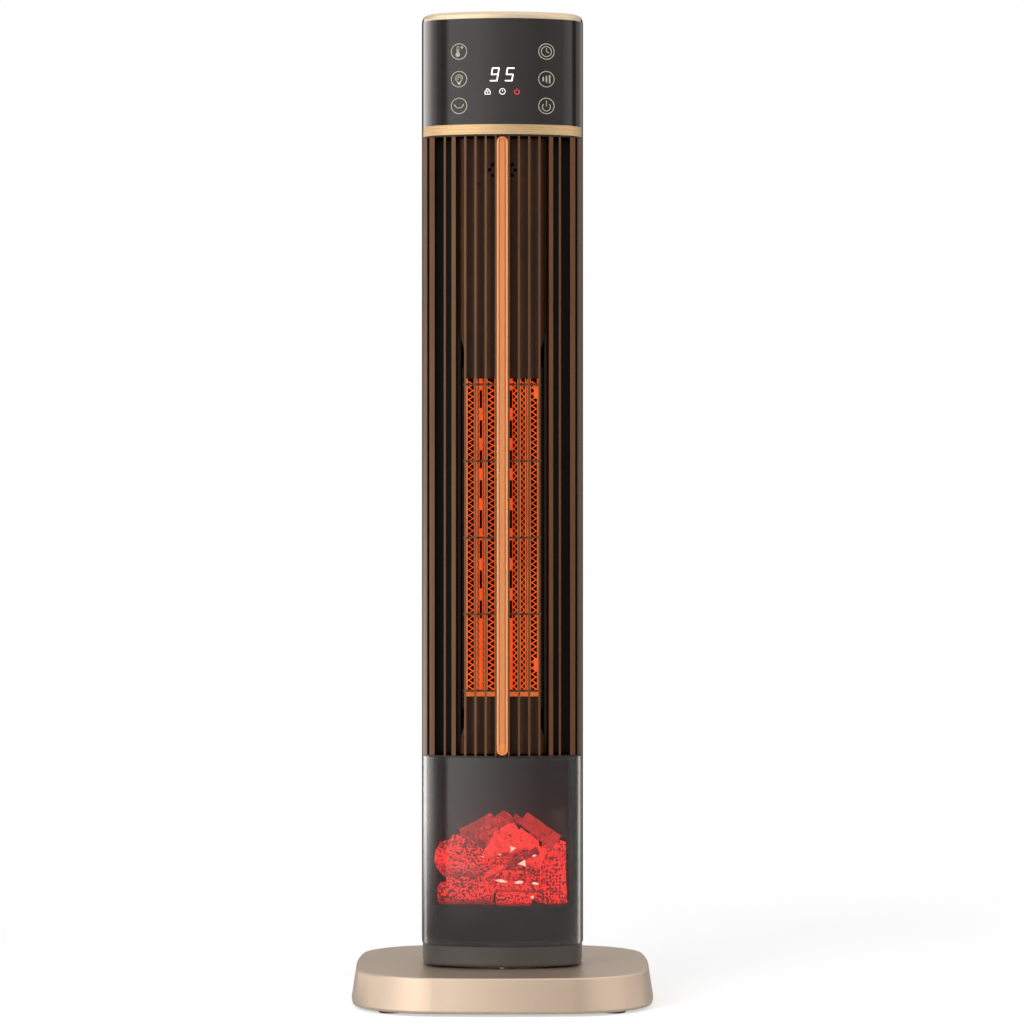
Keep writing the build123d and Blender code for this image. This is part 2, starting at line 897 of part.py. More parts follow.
# Flame display

def make_flame_window():
    return tower.ring(0, shell_wall, z_window, z_grille) & ahead_of(seam_y)


def make_ember_tray():
    top = tower.prism(tray_inset, z_tray, z_tray_top) & ahead_of(box_back + box_wall)
    skirt = tower.ring(tray_inset, tray_inset + tray_wall, z_floor_top, z_tray) & ahead_of(seam_y)
    tray = top + skirt
    for side in (-1, 1):
        x0, x1 = sorted((side * tray_leg_x, side * (tray_leg_x + tray_wall)))
        tray += block(x0, x1, seam_y, box_back, z_floor_top, z_tray)
    for x in led_places():
        tray -= rod(led_radius + turning_gap, z_tray - over, z_tray_top + over, x, log_bed_y)
    return tray


def led_places():
    return [(i - (led_count - 1) / 2) * led_spacing for i in range(led_count)]


def make_led_board():
    half = led_count * led_spacing / 2
    z1 = z_tray - slip_gap
    y = log_bed_y
    return block(-half, half, y - led_board_depth / 2, y + led_board_depth / 2, z1 - board_thickness, z1)


def make_flame_leds():
    z0 = z_tray - slip_gap
    return group([rod(led_radius, z0, z0 + led_height, x, log_bed_y) for x in led_places()])


def make_flame_box():
    x = box_half_width + box_wall
    y = box_back + box_wall
    walls = block(-x, x, seam_y, y, z_tray_top, z_grille - box_roof_gap)
    room = block(-box_half_width, box_half_width, seam_y - over, box_back,
                 z_tray_top - over, z_grille - box_roof_gap - box_wall)
    roof = tower.prism(tray_inset, z_grille - box_roof_gap - box_wall, z_grille - box_roof_gap)
    return walls - room + (roof & ahead_of(seam_y + over))


def log_solid(start, end, r0, r1):
    """Tapered log between two points, with flat sawn ends."""
    a = Vector(*start) + Vector(0, 0, z_tray_top)
    b = Vector(*end) + Vector(0, 0, z_tray_top)
    length = (b - a).length
    plane = Plane(origin=a, z_dir=(b - a).normalized())
    return extrude_cone(plane, r0, r1, length)


def extrude_cone(plane, r0, r1, length):
    """Cone or cylinder standing on a plane."""
    if abs(r0 - r1) < pick:
        return plane * Pos(0, 0, length / 2) * Cylinder(r0, length)
    return plane * Pos(0, 0, length / 2) * Cone(r0, r1, length)


def make_ember_logs():
    mound = block(-mound_half_width, mound_half_width, mound_front, mound_back,
                  z_tray_top, z_tray_top + mound_height)
    logs = mound.fuse(*[log_solid(*spec) for spec in log_ends])
    room = tower.prism(tray_inset + log_gap, z_tray_top, z_tray_top + log_room_height)
    lamps = block(-mound_room_half_width, mound_room_half_width,
                  log_bed_y - mound_room_half_depth, log_bed_y + mound_room_half_depth,
                  z_tray_top - over, z_tray_top + mound_room_height)
    return (logs & room & ahead_of(log_room_back)) - lamps


# Front grille and centre strip

def fin_spans_ahead():
    """Sides of each fin of the grille, from the middle to both sides; two of each side are broad."""
    spans = []
    for i in range(fins_each_side):
        x = fin_first + fin_pitch * i
        inner, outer = broad_fins.get(i, (x - fin_thickness / 2, x + fin_thickness / 2))
        spans += [(inner, outer), (-outer, -inner)]
    return spans


def make_front_grille():
    ahead = ahead_of(seam_y)
    ahead_rim = ahead_of(seam_y - tongue_reach - turning_gap)
    bottom = tower.ring(0, rim_depth, z_grille, z_grille + rim_height) & ahead_rim
    top = tower.ring(0, rim_depth, z_band - rim_height, z_band) & ahead_rim
    stiles = tower.ring(0, shell_wall, z_grille, z_band) & ahead
    inside = tower_width / 2 - stile_reach
    stiles -= block(-inside, inside, -big, big, z_grille - over, z_band + over)
    pieces = [bottom, top, stiles]
    for x0, x1 in fin_spans_ahead():
        near, far = sorted((tower.front_depth(x0), tower.front_depth(x1)))
        pieces.append(block(x0, x1, near - over, far + fin_depth,
                            z_grille + rim_height / 2, z_band - rim_height / 2))
    keel = front_y - strip_proud + strip_thickness
    rib_y = front_y + fin_depth + rib_setback
    pieces.append(block(-keel_half_width, keel_half_width, keel, rib_y, z_grille, z_band))
    rib_x = fin_first + rib_fin * fin_pitch + fin_thickness
    for z in rib_levels():
        low = z - rib_height / 2
        pieces.append(block(-rib_x, rib_x, rib_y, rib_y + rib_depth, low, low + rib_height))
    grille = pieces[0].fuse(*pieces[1:]) & tower.prism(0, z_grille, z_band)
    half = strip_width / 2 + slip_gap
    return grille - block(-half, half, -big, keel, z_grille - over, z_band + over)


def rib_levels():
    """Heights of the tie ribs, which cross in front of the heating element."""
    middle = z_heater + heater_height / 2
    return [middle + (i - (rib_count - 1) / 2) * rib_pitch for i in range(rib_count)]


def strip_face(width, height, y):
    """Round-ended bar outline standing in the XZ plane at y."""
    plane = Plane(origin=(0, y, (z_grille + z_band) / 2), x_dir=(1, 0, 0), z_dir=(0, -1, 0))
    return plane * RectangleRounded(width, height, width * strip_end_share)


def make_centre_strip():
    height = grille_height - 2 * strip_end_gap
    y = front_y + strip_thickness - strip_proud
    bar = extrude(strip_face(strip_width, height, y), strip_thickness)
    bar = fillet(bar.faces().sort_by(Axis.Y)[0].edges(), strip_edge_round)
    floor_y = front_y - strip_proud + strip_groove
    inner = 2 * strip_border
    groove = extrude(strip_face(strip_width - inner, height - inner, floor_y), strip_groove + over)
    inner += 2 * strip_groove_width
    core = extrude(strip_face(strip_width - inner, height - inner, floor_y), strip_groove)
    return bar - groove + core


# Outlet panel

def panel_half_profile():
    """Plan points of the panel's right half, from the middle outwards."""
    back = panel_y + panel_recess
    flange_y = seam_y - tongue_reach - panel_wall
    side = tower.half_x - shell_wall - 4 * slip_gap
    corner_reach = sqrt((tower.corner - shell_wall) ** 2 - (flange_y + tower.cy) ** 2)
    inner = tower.cx + corner_reach - 5 * slip_gap
    side_x = panel_half_width + panel_chamfer
    return [(panel_half_width, panel_y), (side_x, panel_y + panel_chamfer), (side_x, back),
            (panel_back_half, back), (panel_back_half + panel_flange_lean, flange_y),
            (min(inner, side), flange_y)]


def make_front_baffle():
    right = panel_half_profile()
    left = [(-x, y) for x, y in reversed(right)]
    face = ribbon_profile(left + right, panel_wall)
    z0 = z_grille + rim_height + panel_end_gap
    z1 = z_band - rim_height - panel_end_gap
    panel = upright(face, z0, z1)
    gap = panel_window_gap
    half = heater_half_width + gap
    panel -= block(-half, half, panel_y - over, panel_y + panel_wall + over,
                   z_heater - gap, z_heater_top + gap)
    low = z_heater - notch_slope
    high = z_heater_top + notch_slope
    for side in (-1, 1):
        edge = side * (panel_half_width + panel_chamfer + over)
        inner = side * (panel_half_width - notch_width)
        notch = Face(Wire.make_polygon([(edge, 0, low - notch_slope), (inner, 0, low),
                                        (inner, 0, high), (edge, 0, high + notch_slope)]))
        panel -= Pos(0, panel_y - over, 0) * extrude(notch, panel_chamfer + panel_wall, dir=(0, 1, 0))
    for x, z in vent_places():
        panel -= rod_y(vent_radius, panel_y - over, panel_y + panel_wall + over, x, z)
    return panel


def vent_places():
    """Air holes near the panel's top: three rows of five and four, and the sensor's."""
    z = z_band - vent_drop
    places = [(sensor_x, z_band - sensor_drop)]
    places += [((i - 2) * vent_pitch, z) for i in range(5)]
    places += [((i - 1.5) * vent_pitch, z + side * vent_row) for i in range(4) for side in (-1, 1)]
    return places


def make_room_sensor():
    y = panel_y + panel_wall
    z = z_band - sensor_drop
    back = y + sensor_length
    return rod_y(sensor_radius, y, back, sensor_x, z) + rod_y(sensor_lead_radius, back, back + sensor_lead,
                                                              sensor_x, z)


# Heating element

def make_heater_frame():
    y0 = panel_y + panel_wall
    y1 = heater_y + heater_depth
    outer = heater_half_width + heater_border
    frame = block(-outer, outer, y0, y1, z_heater - heater_end, z_heater_top + heater_end)
    inner = heater_half_width + slip_gap
    frame -= block(-inner, inner, y0 - over, y1 + over, z_heater, z_heater_top)
    side = outer + over
    return frame - block(-side, side, y0 - over, heater_y + rail_setback, z_heater, z_heater_top)


def upright_elements():
    """Every upright of the element, from left to right, as its centre and width."""
    strips = [(x, ptc_width) for x in ptc_places]
    return sorted([*bar_rows, *strips])


def fin_spans():
    """Spaces between neighbouring uprights, which the folded fins fill."""
    rows = upright_elements()
    spans = []
    for (x0, w0), (x1, w1) in zip(rows, rows[1:]):
        spans.append((x0 + w0 / 2 + fin_side_gap, x1 - w1 / 2 - fin_side_gap))
    return spans


def folded_fin(x0, x1):
    """Zigzag ribbon between two uprights, from the end bar to the top."""
    z0 = z_heater + end_bar_height
    rise = fin_period / 2
    folds = int((z_heater_top - z0) / rise)
    shift = (x1 - x0) * fin_ribbon / (rise + fin_ribbon)
    left = [(x0 if i % 2 == 0 else x1 - shift, 0, z0 + i * rise) for i in range(folds + 1)]
    right = [(x + shift, 0, z) for x, _, z in left]
    face = Face(Wire.make_polygon(left + right[::-1]))
    return Pos(0, heater_y, 0) * extrude(face, heater_depth, dir=(0, 1, 0))


def make_heater_fins():
    return group([folded_fin(x0, x1) for x0, x1 in fin_spans()])


def make_heater_bars():
    z0 = z_heater + end_bar_height
    bars = [block(x - width / 2, x + width / 2, heater_y, heater_y + heater_depth, z0, z_heater_top)
            for x, width in bar_rows]
    end = block(-heater_half_width, heater_half_width, heater_y, heater_y + heater_depth, z_heater, z0)
    return bars[0].fuse(end, *bars[1:])


def make_ptc_strips():
    strips = []
    z0 = z_heater + end_bar_height
    for x in ptc_places:
        strip = block(x - ptc_width / 2, x + ptc_width / 2, heater_y, heater_y + heater_depth,
                      z0, z_heater_top)
        for i in range(slot_count):
            top = z_heater_top - slot_first - i * slot_pitch
            strip -= block(x - slot_width / 2, x + slot_width / 2, heater_y - over,
                           heater_y + heater_depth + over, top - slot_height, top)
        strips.append(strip)
    return group(strips)


def make_terminal_tabs():
    tabs = []
    for z in (z_heater + tab_from_end, z_heater_top - tab_from_end + tab_height / 2):
        tabs.append(block(tab_x - tab_width / 2, tab_x + tab_width / 2, heater_y - tab_thickness, heater_y,
                          z, z + tab_height))
    return group(tabs)


def make_thermal_cutout():
    z0 = z_heater_top + heater_end + scroll_plate
    half = cutout_size / 2
    body = block(-half, half, heater_y, heater_y + cutout_depth, z0, z0 + cutout_height)
    return fillet(body.edges().filter_by(Axis.Z), cutout_round)


# Blower

def scroll_plan():
    """Plan of the scroll's end plates."""
    back = panel_y + panel_recess + panel_wall + turning_gap
    wide = block(-scroll_half_width, scroll_half_width, back, scroll_back, 0, scroll_plate)
    wide -= rod(loom_hole_radius, -over, scroll_plate + over, loom_x, wheel_y)
    outer = heater_half_width + heater_border
    return wide + block(-outer, outer, panel_y + panel_wall + slip_gap, back + over, 0, scroll_plate)


def make_scroll_housing():
    plate = scroll_plan() - rod(hub_hole_radius, -over, scroll_plate + over, wheel_x, wheel_y)
    top_plate = scroll_plan() - rod(shaft_hole_radius, -over, scroll_plate + over, wheel_x, wheel_y)
    housing = Pos(0, 0, z_scroll - scroll_plate) * plate + Pos(0, 0, z_scroll_top) * top_plate
    z0 = z_scroll - scroll_lap
    z1 = z_scroll_top + scroll_lap
    points = []
    for i in range(scroll_steps):
        share = i / (scroll_steps - 1)
        angle = radians(scroll_start_angle + (scroll_end_angle - scroll_start_angle) * share)
        r = wheel_radius + scroll_start_gap + scroll_growth * share
        points.append((wheel_x + r * cos(angle), wheel_y + r * sin(angle)))
    outlet_y = heater_y + heater_depth + scroll_wall
    points.append((heater_half_width + heater_border - scroll_wall, outlet_y))
    housing += upright(ribbon_profile(points, scroll_wall), z0, z1)
    left = -(heater_half_width + heater_border) + scroll_wall
    tongue = [(left, outlet_y), (wheel_x - cutoff_x, wheel_y - cutoff_y)]
    housing += upright(ribbon_profile(tongue[::-1], scroll_wall), z0, z1)
    ledge_y = panel_y + panel_recess + panel_wall + turning_gap
    for side in (-1, 1):
        x0, x1 = sorted((side * ledge_inner, side * ledge_outer))
        housing += block(x0, x1, ledge_y, ledge_y + ledge_thickness, z0, z1)
    return housing


def make_impeller():
    z0 = z_scroll + wheel_end_gap
    z1 = z_scroll_top - wheel_end_gap
    middle = wheel_radius - blade_length / 2
    blade = Box(blade_length, blade_thickness, z1 - z0)
    blade = Pos(middle, 0, (z0 + z1) / 2) * Rot(0, 0, blade_lean) * blade
    blades = [Rot(0, 0, 360 / blade_count * i) * blade for i in range(blade_count)]
    bore = shaft_radius + press_gap
    rings = []
    for i in range(ring_count):
        z = z0 + (z1 - z0 - ring_thickness) * i / (ring_count - 1)
        inner = bore if i in (0, ring_count - 1) else wheel_radius - blade_length
        rings.append(tube(wheel_radius, inner, z, z + ring_thickness))
    hubs = [tube(hub_radius, bore, z, z + hub_length) for z in (z0, z1 - hub_length)]
    wheel = rings[0].fuse(*rings[1:], *hubs, *blades) & rod(wheel_radius, z0, z1)
    return Pos(wheel_x, wheel_y, 0) * wheel


def make_impeller_shaft():
    z0 = z_scroll - scroll_plate - fan_shaft_reach
    z1 = z_scroll_top + scroll_plate + bearing_height - bearing_cap - shaft_end_gap
    return rod(shaft_radius, z0, z1, wheel_x, wheel_y)


def make_fan_motor():
    z1 = z_scroll - scroll_plate
    z0 = z1 - fan_motor_height
    motor = rod(fan_motor_radius, z0, z1, wheel_x, wheel_y)
    motor = fillet(motor.edges().group_by(Axis.Z)[0], fan_motor_round)
    motor += rod(fan_boss_radius, z1, z1 + fan_boss, wheel_x, wheel_y)
    bore = rod(shaft_radius + running_gap, z1 - fan_shaft_reach - over, z1 + scroll_plate, wheel_x, wheel_y)
    return motor - bore


def make_top_bearing():
    z0 = z_scroll_top + scroll_plate
    bearing = rod(bearing_flange_radius, z0, z0 + bearing_flange, wheel_x, wheel_y)
    bearing += rod(bearing_radius, z0, z0 + bearing_height, wheel_x, wheel_y)
    bore = rod(shaft_radius + running_gap, z0 - over, z0 + bearing_height - bearing_cap, wheel_x, wheel_y)
    return bearing - bore


# Rear housing and what it carries

def rear_screw_places():
    return [(side * post_x, z_grille + level) for level in rear_screw_levels for side in (-1, 1)]


def grip_z():
    """Lower and upper edge of the hand grip."""
    top = z_cap - grip_drop
    return top - grip_height, top


def main_board_z():
    """Lower and upper edge of the main board."""
    low = z_scroll_top + main_board_rise
    return low, low + main_board_height


def main_board_face():
    """Depth of the main board's front face, which carries its parts."""
    return tower.half_y - shell_wall - main_board_stand - board_thickness


def board_post_places():
    z0, z1 = main_board_z()
    x = main_board_half_width - board_post_inset
    return [(side * x, z) for side in (-1, 1) for z in (z0 + board_post_inset, z1 - board_post_inset)]


def rear_height():
    return z_top - rear_top_drop


def make_rear_housing():
    outer = tower.prism(0, z_window, rear_height())
    top_edges = outer.edges().filter_by_position(Axis.Z, rear_height() - pick, rear_height() + pick)
    outer = fillet(top_edges, rear_top_round)
    outer = outer & behind(seam_y)
    shell = outer - tower.prism(shell_wall, z_window - over, rear_height() + over)
    low = z_window + lip_height + tongue_lap
    tongue = tower.ring(lip_inset, lip_inset + tongue_wall, low, z_cap)
    tongue = tongue & ahead_of(seam_y + tongue_root) & behind(seam_y - tongue_reach)
    root = tower.ring(shell_wall / 2, lip_inset + tongue_wall, low, z_cap)
    root = root & ahead_of(seam_y + tongue_root) & behind(seam_y + tongue_lap)
    shell += tongue + root
    z0 = z_grille + intake_low
    shell -= block(-grille_half_width, grille_half_width, 0, big, z0, z0 + intake_height)
    low, high = grip_z()
    shell -= block(-grip_half_width, grip_half_width, 0, big, low, high)
    inside = tower.prism(shell_wall / 2, z_window, z_cap)
    board_back = main_board_face() + board_thickness
    for x, z in board_post_places():
        shell += rod_y(board_post_radius, board_back, tower.half_y, x, z) & inside
    for x, z in rear_screw_places():
        shell += rod_y(rear_boss_radius, rear_boss_y, tower.half_y, x, z) & inside
        shell -= rod_y(screw_head_radius + 0.5, rear_boss_y + rear_shoulder, big, x, z)
        shell -= rod_y(screw_radius + slip_gap, rear_boss_y - over, big, x, z)
    z = z_window + rocker_level
    shell -= block(-rocker_half_x - slip_gap, rocker_half_x + slip_gap, 0, big,
                   z - rocker_half_z - slip_gap, z + rocker_half_z + slip_gap)
    return shell


def make_rear_grille():
    z0 = z_grille + intake_low + slip_gap
    z1 = z_grille + intake_low + intake_height - slip_gap
    half = grille_half_width - slip_gap
    panel = tower.ring(louvre_recess, shell_wall, z0, z1) & block(-half, half, 0, big, z0, z1)
    count = int((z1 - z0 - 2 * louvre_margin) / louvre_pitch)
    start = (z0 + z1) / 2 - (count - 1) * louvre_pitch / 2
    slots = []
    for i in range(count):
        z = start + i * louvre_pitch
        for side in (-1, 1):
            x0, x1 = sorted((side * louvre_mullion / 2, side * (half - louvre_margin)))
            slots.append(block(x0, x1, 0, big, z - louvre_height / 2, z + louvre_height / 2))
    return panel - slots


def make_grip_cup():
    low, high = grip_z()
    mouth = tower.half_y - shell_wall
    outer = block(-grip_half_width - grip_wall, grip_half_width + grip_wall,
                  mouth - grip_depth - grip_wall, big, low - grip_wall, high + grip_wall)
    room = block(-grip_half_width, grip_half_width, mouth - grip_depth, big, low, high)
    return (outer - room) & tower.prism(lip_inset, low - grip_height, high + grip_height)


def make_rear_screws():
    y = rear_boss_y + rear_shoulder
    face = y + screw_head_height
    screws = []
    for x, z in rear_screw_places():
        head = rod_y(screw_head_radius, y, face, x, z)
        for half_x, half_z in ((cross_reach, cross_half_width), (cross_half_width, cross_reach)):
            head -= block(x - half_x, x + half_x, face - cross_depth, face, z - half_z, z + half_z)
        screws.append(head + rod_y(screw_radius, y - rear_screw_length, y, x, z))
    return group(screws)


def make_chassis_rails():
    front = panel_y + panel_recess + panel_wall + rail_front_gap
    screw_end = rear_boss_y + rear_shoulder - rear_screw_length - over
    rails = []
    for side in (-1, 1):
        x0, x1 = sorted((side * rail_x, side * (rail_x + rail_thickness)))
        rail = block(x0, x1, front, front + rail_depth, z_grille + rail_end_gap, z_band - rail_end_gap)
        for x, z in rear_screw_places():
            if x * side > 0:
                rail += rod_y(boss_radius, front + rail_depth - rail_boss_root, rear_boss_y - slip_gap, x, z)
                rail -= rod_y(screw_radius + running_gap, screw_end, rear_boss_y + over, x, z)
        rails.append(rail)
    return group(rails)


def rocker_pivot():
    """Y and Z of the rocker's pivot."""
    return tower.half_y + rocker_bezel_proud - rocker_pivot_depth, z_window + rocker_level


def make_rocker_frame():
    y, z = rocker_pivot()
    face = tower.half_y + rocker_bezel_proud
    seat = tower.half_y
    flange = block(-rocker_half_x - rocker_bezel, rocker_half_x + rocker_bezel, seat, face,
                   z - rocker_half_z - rocker_bezel, z + rocker_half_z + rocker_bezel)
    flange = fillet(flange.edges().filter_by(Axis.Y), rocker_bezel_round)
    body = block(-rocker_half_x, rocker_half_x, face - rocker_body_depth, seat,
                 z - rocker_half_z, z + rocker_half_z)
    wall = rocker_frame_wall
    well = block(-rocker_half_x + wall, rocker_half_x - wall, face - rocker_well, face + over,
                 z - rocker_half_z + wall, z + rocker_half_z - wall)
    pin = Pos(0, y, z) * Rot(0, 90, 0) * Cylinder(rocker_pin_radius, 2 * rocker_half_x - wall)
    return flange + body - well + pin


def make_power_rocker():
    y, z = rocker_pivot()
    half_x = rocker_half_x - rocker_frame_wall - turning_gap
    half_z = rocker_half_z - rocker_frame_wall - rocker_side_gap
    dish = half_z * sin(radians(rocker_swing / 2)) / 2
    depth = rocker_pivot_depth
    pin = rocker_pin_radius
    points = [(0, depth - dish), (half_z, depth), (half_z, -pin), (rocker_keel_half, -rocker_keel),
              (-rocker_keel_half, -rocker_keel), (-half_z, -pin), (-half_z, depth)]
    face = Face(Wire.make_polygon([(0, py, pz) for pz, py in points]))
    body = Pos(-half_x, 0, 0) * extrude(face, 2 * half_x, dir=(1, 0, 0))
    body -= Rot(0, 90, 0) * Cylinder(pin + running_gap, 4 * half_x)
    return Pos(0, y, z) * Rot(-rocker_swing / 2, 0, 0) * body


# Head

def make_trim_band():
    return tower.ring(0, shell_wall, z_band, z_head) & ahead_of(seam_y)


def control_board_y():
    return front_y + control_board_depth


def control_post_places():
    x = panel_post_x
    return [(side * x, z) for side in (-1, 1)
            for z in (z_head + panel_post_inset, z_cap - panel_post_inset)]


def make_control_fascia():
    fascia = tower.ring(0, shell_wall, z_head, z_cap) & ahead_of(seam_y)
    inside = tower.prism(shell_wall / 2, z_head, z_cap)
    for x, z in control_post_places():
        fascia += rod_y(panel_post_radius, -big, control_board_y() - board_thickness, x, z) & inside
    return fascia


def make_control_board():
    half = control_board_half_width
    y = control_board_y()
    face = y - board_thickness
    top = z_cap - receiver_drop
    board = block(-half, half, face, y, z_head + control_board_margin, z_cap - control_board_margin)
    return board + block(-receiver_half_width, receiver_half_width, face - receiver_depth, face,
                         top - receiver_height, top)


def make_display_module():
    y = control_board_y() - board_thickness
    half = display_half_width
    front = tower.front_depth(half) + shell_wall + turning_gap
    z = z_head + display_centre
    return block(-half, half, front, y, z - display_height / 2, z + display_height / 2)


def make_touch_springs():
    y1 = control_board_y() - board_thickness
    springs = []
    y0 = tower.front_depth(icon_x + touch_spring_radius) + shell_wall + turning_gap
    for level in icon_levels:
        for side in (-1, 1):
            x = side * icon_x
            z = z_head + level
            core = rod_y(touch_spring_radius - touch_spring_wall, y0 - over, y1 + over, x, z)
            springs.append(rod_y(touch_spring_radius, y0, y1, x, z) - core)
    return group(springs)


def make_top_rim():
    outer = tower.prism(rim_inset, z_cap, z_top)
    edges = outer.edges().filter_by_position(Axis.Z, z_top - pick, z_top + pick)
    outer = fillet(edges, rim_round)
    return (outer - tower.prism(rim_width, z_cap - over, z_top + over)) & ahead_of(seam_y)


def make_top_plate():
    z1 = z_top - top_plate_drop
    ahead = tower.prism(rim_width + top_plate_gap, z_cap, z1) & ahead_of(seam_y + top_plate_lap)
    back = tower.prism(shell_wall + top_plate_gap, z_cap, z1) & behind(seam_y + top_plate_gap)
    return ahead + back


def make_main_board():
    z0, z1 = main_board_z()
    half = main_board_half_width
    face = main_board_face()
    return block(-half, half, face, face + board_thickness, z0, z1)


def make_board_parts():
    z0, _ = main_board_z()
    y = main_board_face()
    parts = [block(x - hx, x + hx, y - depth, y, z0 + dz - hz, z0 + dz + hz)
             for x, dz, hx, hz, depth in board_part_sizes]
    parts.append(rod_y(capacitor_radius, y - capacitor_length, y, capacitor_x, z0 + capacitor_rise))
    return group(parts)


def make_wire_loom():
    z0, _ = main_board_z()
    step = loom_step
    end_z = z0 + loom_radius + board_post_radius
    points = [(0, 0, z_roof), (0, 0, z_motor + step / 2), (0, wheel_y, z_motor + motor_height + step / 2),
              (0, wheel_y, z_grille - 2 * step), (loom_x, wheel_y, z_scroll - scroll_plate - step),
              (loom_x, wheel_y, z_scroll_top + scroll_plate + step / 2),
              (loom_end_x, wheel_y + step / 2, end_z), (loom_end_x, main_board_face(), end_z)]
    path = FilletPolyline(*points, radius=loom_bend)
    section = Plane(origin=points[0], z_dir=(0, 0, 1)) * Circle(loom_radius)
    return sweep(section, path=path)


def make_buzzer():
    z = main_board_z()[0] + buzzer_rise
    y = main_board_face()
    front = y - buzzer_depth
    port = rod_y(buzzer_port_radius, front - over, front + buzzer_port_depth, buzzer_x, z)
    return rod_y(buzzer_radius, front, y, buzzer_x, z) - port


nodes = {
    "base_shell": make_base_shell,
    "base_bottom_plate": make_base_bottom_plate,
    "ballast_plate": make_ballast_plate,
    "rubber_feet": make_rubber_feet,
    "base_screws": make_base_screws,
    "cord_gland": make_cord_gland,
    "tip_switch": make_tip_switch,
    "tip_plunger": make_tip_plunger,
    "tip_spring": make_tip_spring,
    "pivot_post": make_pivot_post,
    "pivot_screws": make_pivot_screws,
    "glide_ring": make_glide_ring,
    "swivel_gear": make_swivel_gear,
    "gear_nut": make_gear_nut,
    "pinion": make_pinion,
    "motor_shaft": make_motor_shaft,
    "swing_motor": make_swing_motor,
    "motor_screws": make_motor_screws,
    "swivel_bush": make_swivel_bush,
    "lower_collar": make_lower_collar,
    "turret_floor": make_turret_floor,
    "flame_window": make_flame_window,
    "ember_tray": make_ember_tray,
    "led_board": make_led_board,
    "flame_leds": make_flame_leds,
    "flame_box": make_flame_box,
    "ember_logs": make_ember_logs,
    "front_grille": make_front_grille,
    "centre_strip": make_centre_strip,
    "front_baffle": make_front_baffle,
    "room_sensor": make_room_sensor,
    "heater_frame": make_heater_frame,
    "heater_fins": make_heater_fins,
    "heater_bars": make_heater_bars,
    "ptc_strips": make_ptc_strips,
    "terminal_tabs": make_terminal_tabs,
    "thermal_cutout": make_thermal_cutout,
    "scroll_housing": make_scroll_housing,
    "impeller": make_impeller,
    "impeller_shaft": make_impeller_shaft,
    "fan_motor": make_fan_motor,
    "top_bearing": make_top_bearing,
    "rear_housing": make_rear_housing,
    "rear_grille": make_rear_grille,
    "grip_cup": make_grip_cup,
    "rear_screws": make_rear_screws,
    "chassis_rails": make_chassis_rails,
    "rocker_frame": make_rocker_frame,
    "power_rocker": make_power_rocker,
    "trim_band": make_trim_band,
    "control_fascia": make_control_fascia,
    "control_board": make_control_board,
    "display_module": make_display_module,
    "touch_springs": make_touch_springs,
    "top_rim": make_top_rim,
    "top_plate": make_top_plate,
    "main_board": make_main_board,
    "board_parts": make_board_parts,
    "buzzer": make_buzzer,
    "wire_loom": make_wire_loom,
}

os.makedirs("parts", exist_ok=True)
for name, make in nodes.items():
    export_step(make(), f"parts/{name}.step")
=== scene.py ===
"""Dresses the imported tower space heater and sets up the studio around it.

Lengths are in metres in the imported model's frame, or in millimetres where a docstring says so.
+Z is up, the front faces -Y, and the origin is on the floor at the tower's turning axis.
"""

from __future__ import annotations

import logging
import math
from collections.abc import Callable
from dataclasses import dataclass
from enum import Enum
from functools import cached_property

import bmesh
import bpy
from mathutils import Matrix, Vector, noise
from mathutils.bvhtree import BVHTree

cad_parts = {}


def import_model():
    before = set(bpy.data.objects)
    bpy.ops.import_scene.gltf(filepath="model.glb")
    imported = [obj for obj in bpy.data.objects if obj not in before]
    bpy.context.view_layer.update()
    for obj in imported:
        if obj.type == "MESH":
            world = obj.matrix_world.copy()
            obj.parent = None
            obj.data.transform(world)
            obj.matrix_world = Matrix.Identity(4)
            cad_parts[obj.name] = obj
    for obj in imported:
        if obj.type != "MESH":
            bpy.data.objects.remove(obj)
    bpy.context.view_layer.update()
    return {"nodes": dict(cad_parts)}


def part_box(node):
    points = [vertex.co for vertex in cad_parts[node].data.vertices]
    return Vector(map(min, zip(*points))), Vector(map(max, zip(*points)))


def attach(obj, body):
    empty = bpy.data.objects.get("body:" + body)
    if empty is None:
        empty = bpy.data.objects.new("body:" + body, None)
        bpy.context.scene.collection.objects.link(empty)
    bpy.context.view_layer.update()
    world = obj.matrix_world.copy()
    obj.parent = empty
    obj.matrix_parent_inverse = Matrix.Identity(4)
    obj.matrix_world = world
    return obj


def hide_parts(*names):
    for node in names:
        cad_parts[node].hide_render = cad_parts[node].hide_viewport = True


LOG = logging.getLogger("tower_heater")
MM = 0.001
MERGE = 0.002 * MM

Flat = tuple[float, float]
Point = tuple[float, float, float]
Colour = tuple[float, float, float]
Walls = tuple[Flat, ...]
Socket = bpy.types.NodeSocket
Material = bpy.types.Material
World = bpy.types.World
Overlays = tuple[tuple[Socket, Colour], ...]


def tone(*channels: int) -> Colour:
    """Turn a screen's red, green and blue, from 0 to 255, into the linear values of shaders."""
    shares = (value / 255 for value in channels)
    return tuple(s / 12.92 if s <= 0.04045 else ((s + 0.055) / 1.055) ** 2.4 for s in shares)


class Body(Enum):
    """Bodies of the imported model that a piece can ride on."""

    TOWER = "tower"
    ROCKER = "power_rocker"


class MixPin(Enum):
    """Places of the colours among the sockets of a Mix node."""

    FIRST = 6
    SECOND = 7
    RESULT = 2


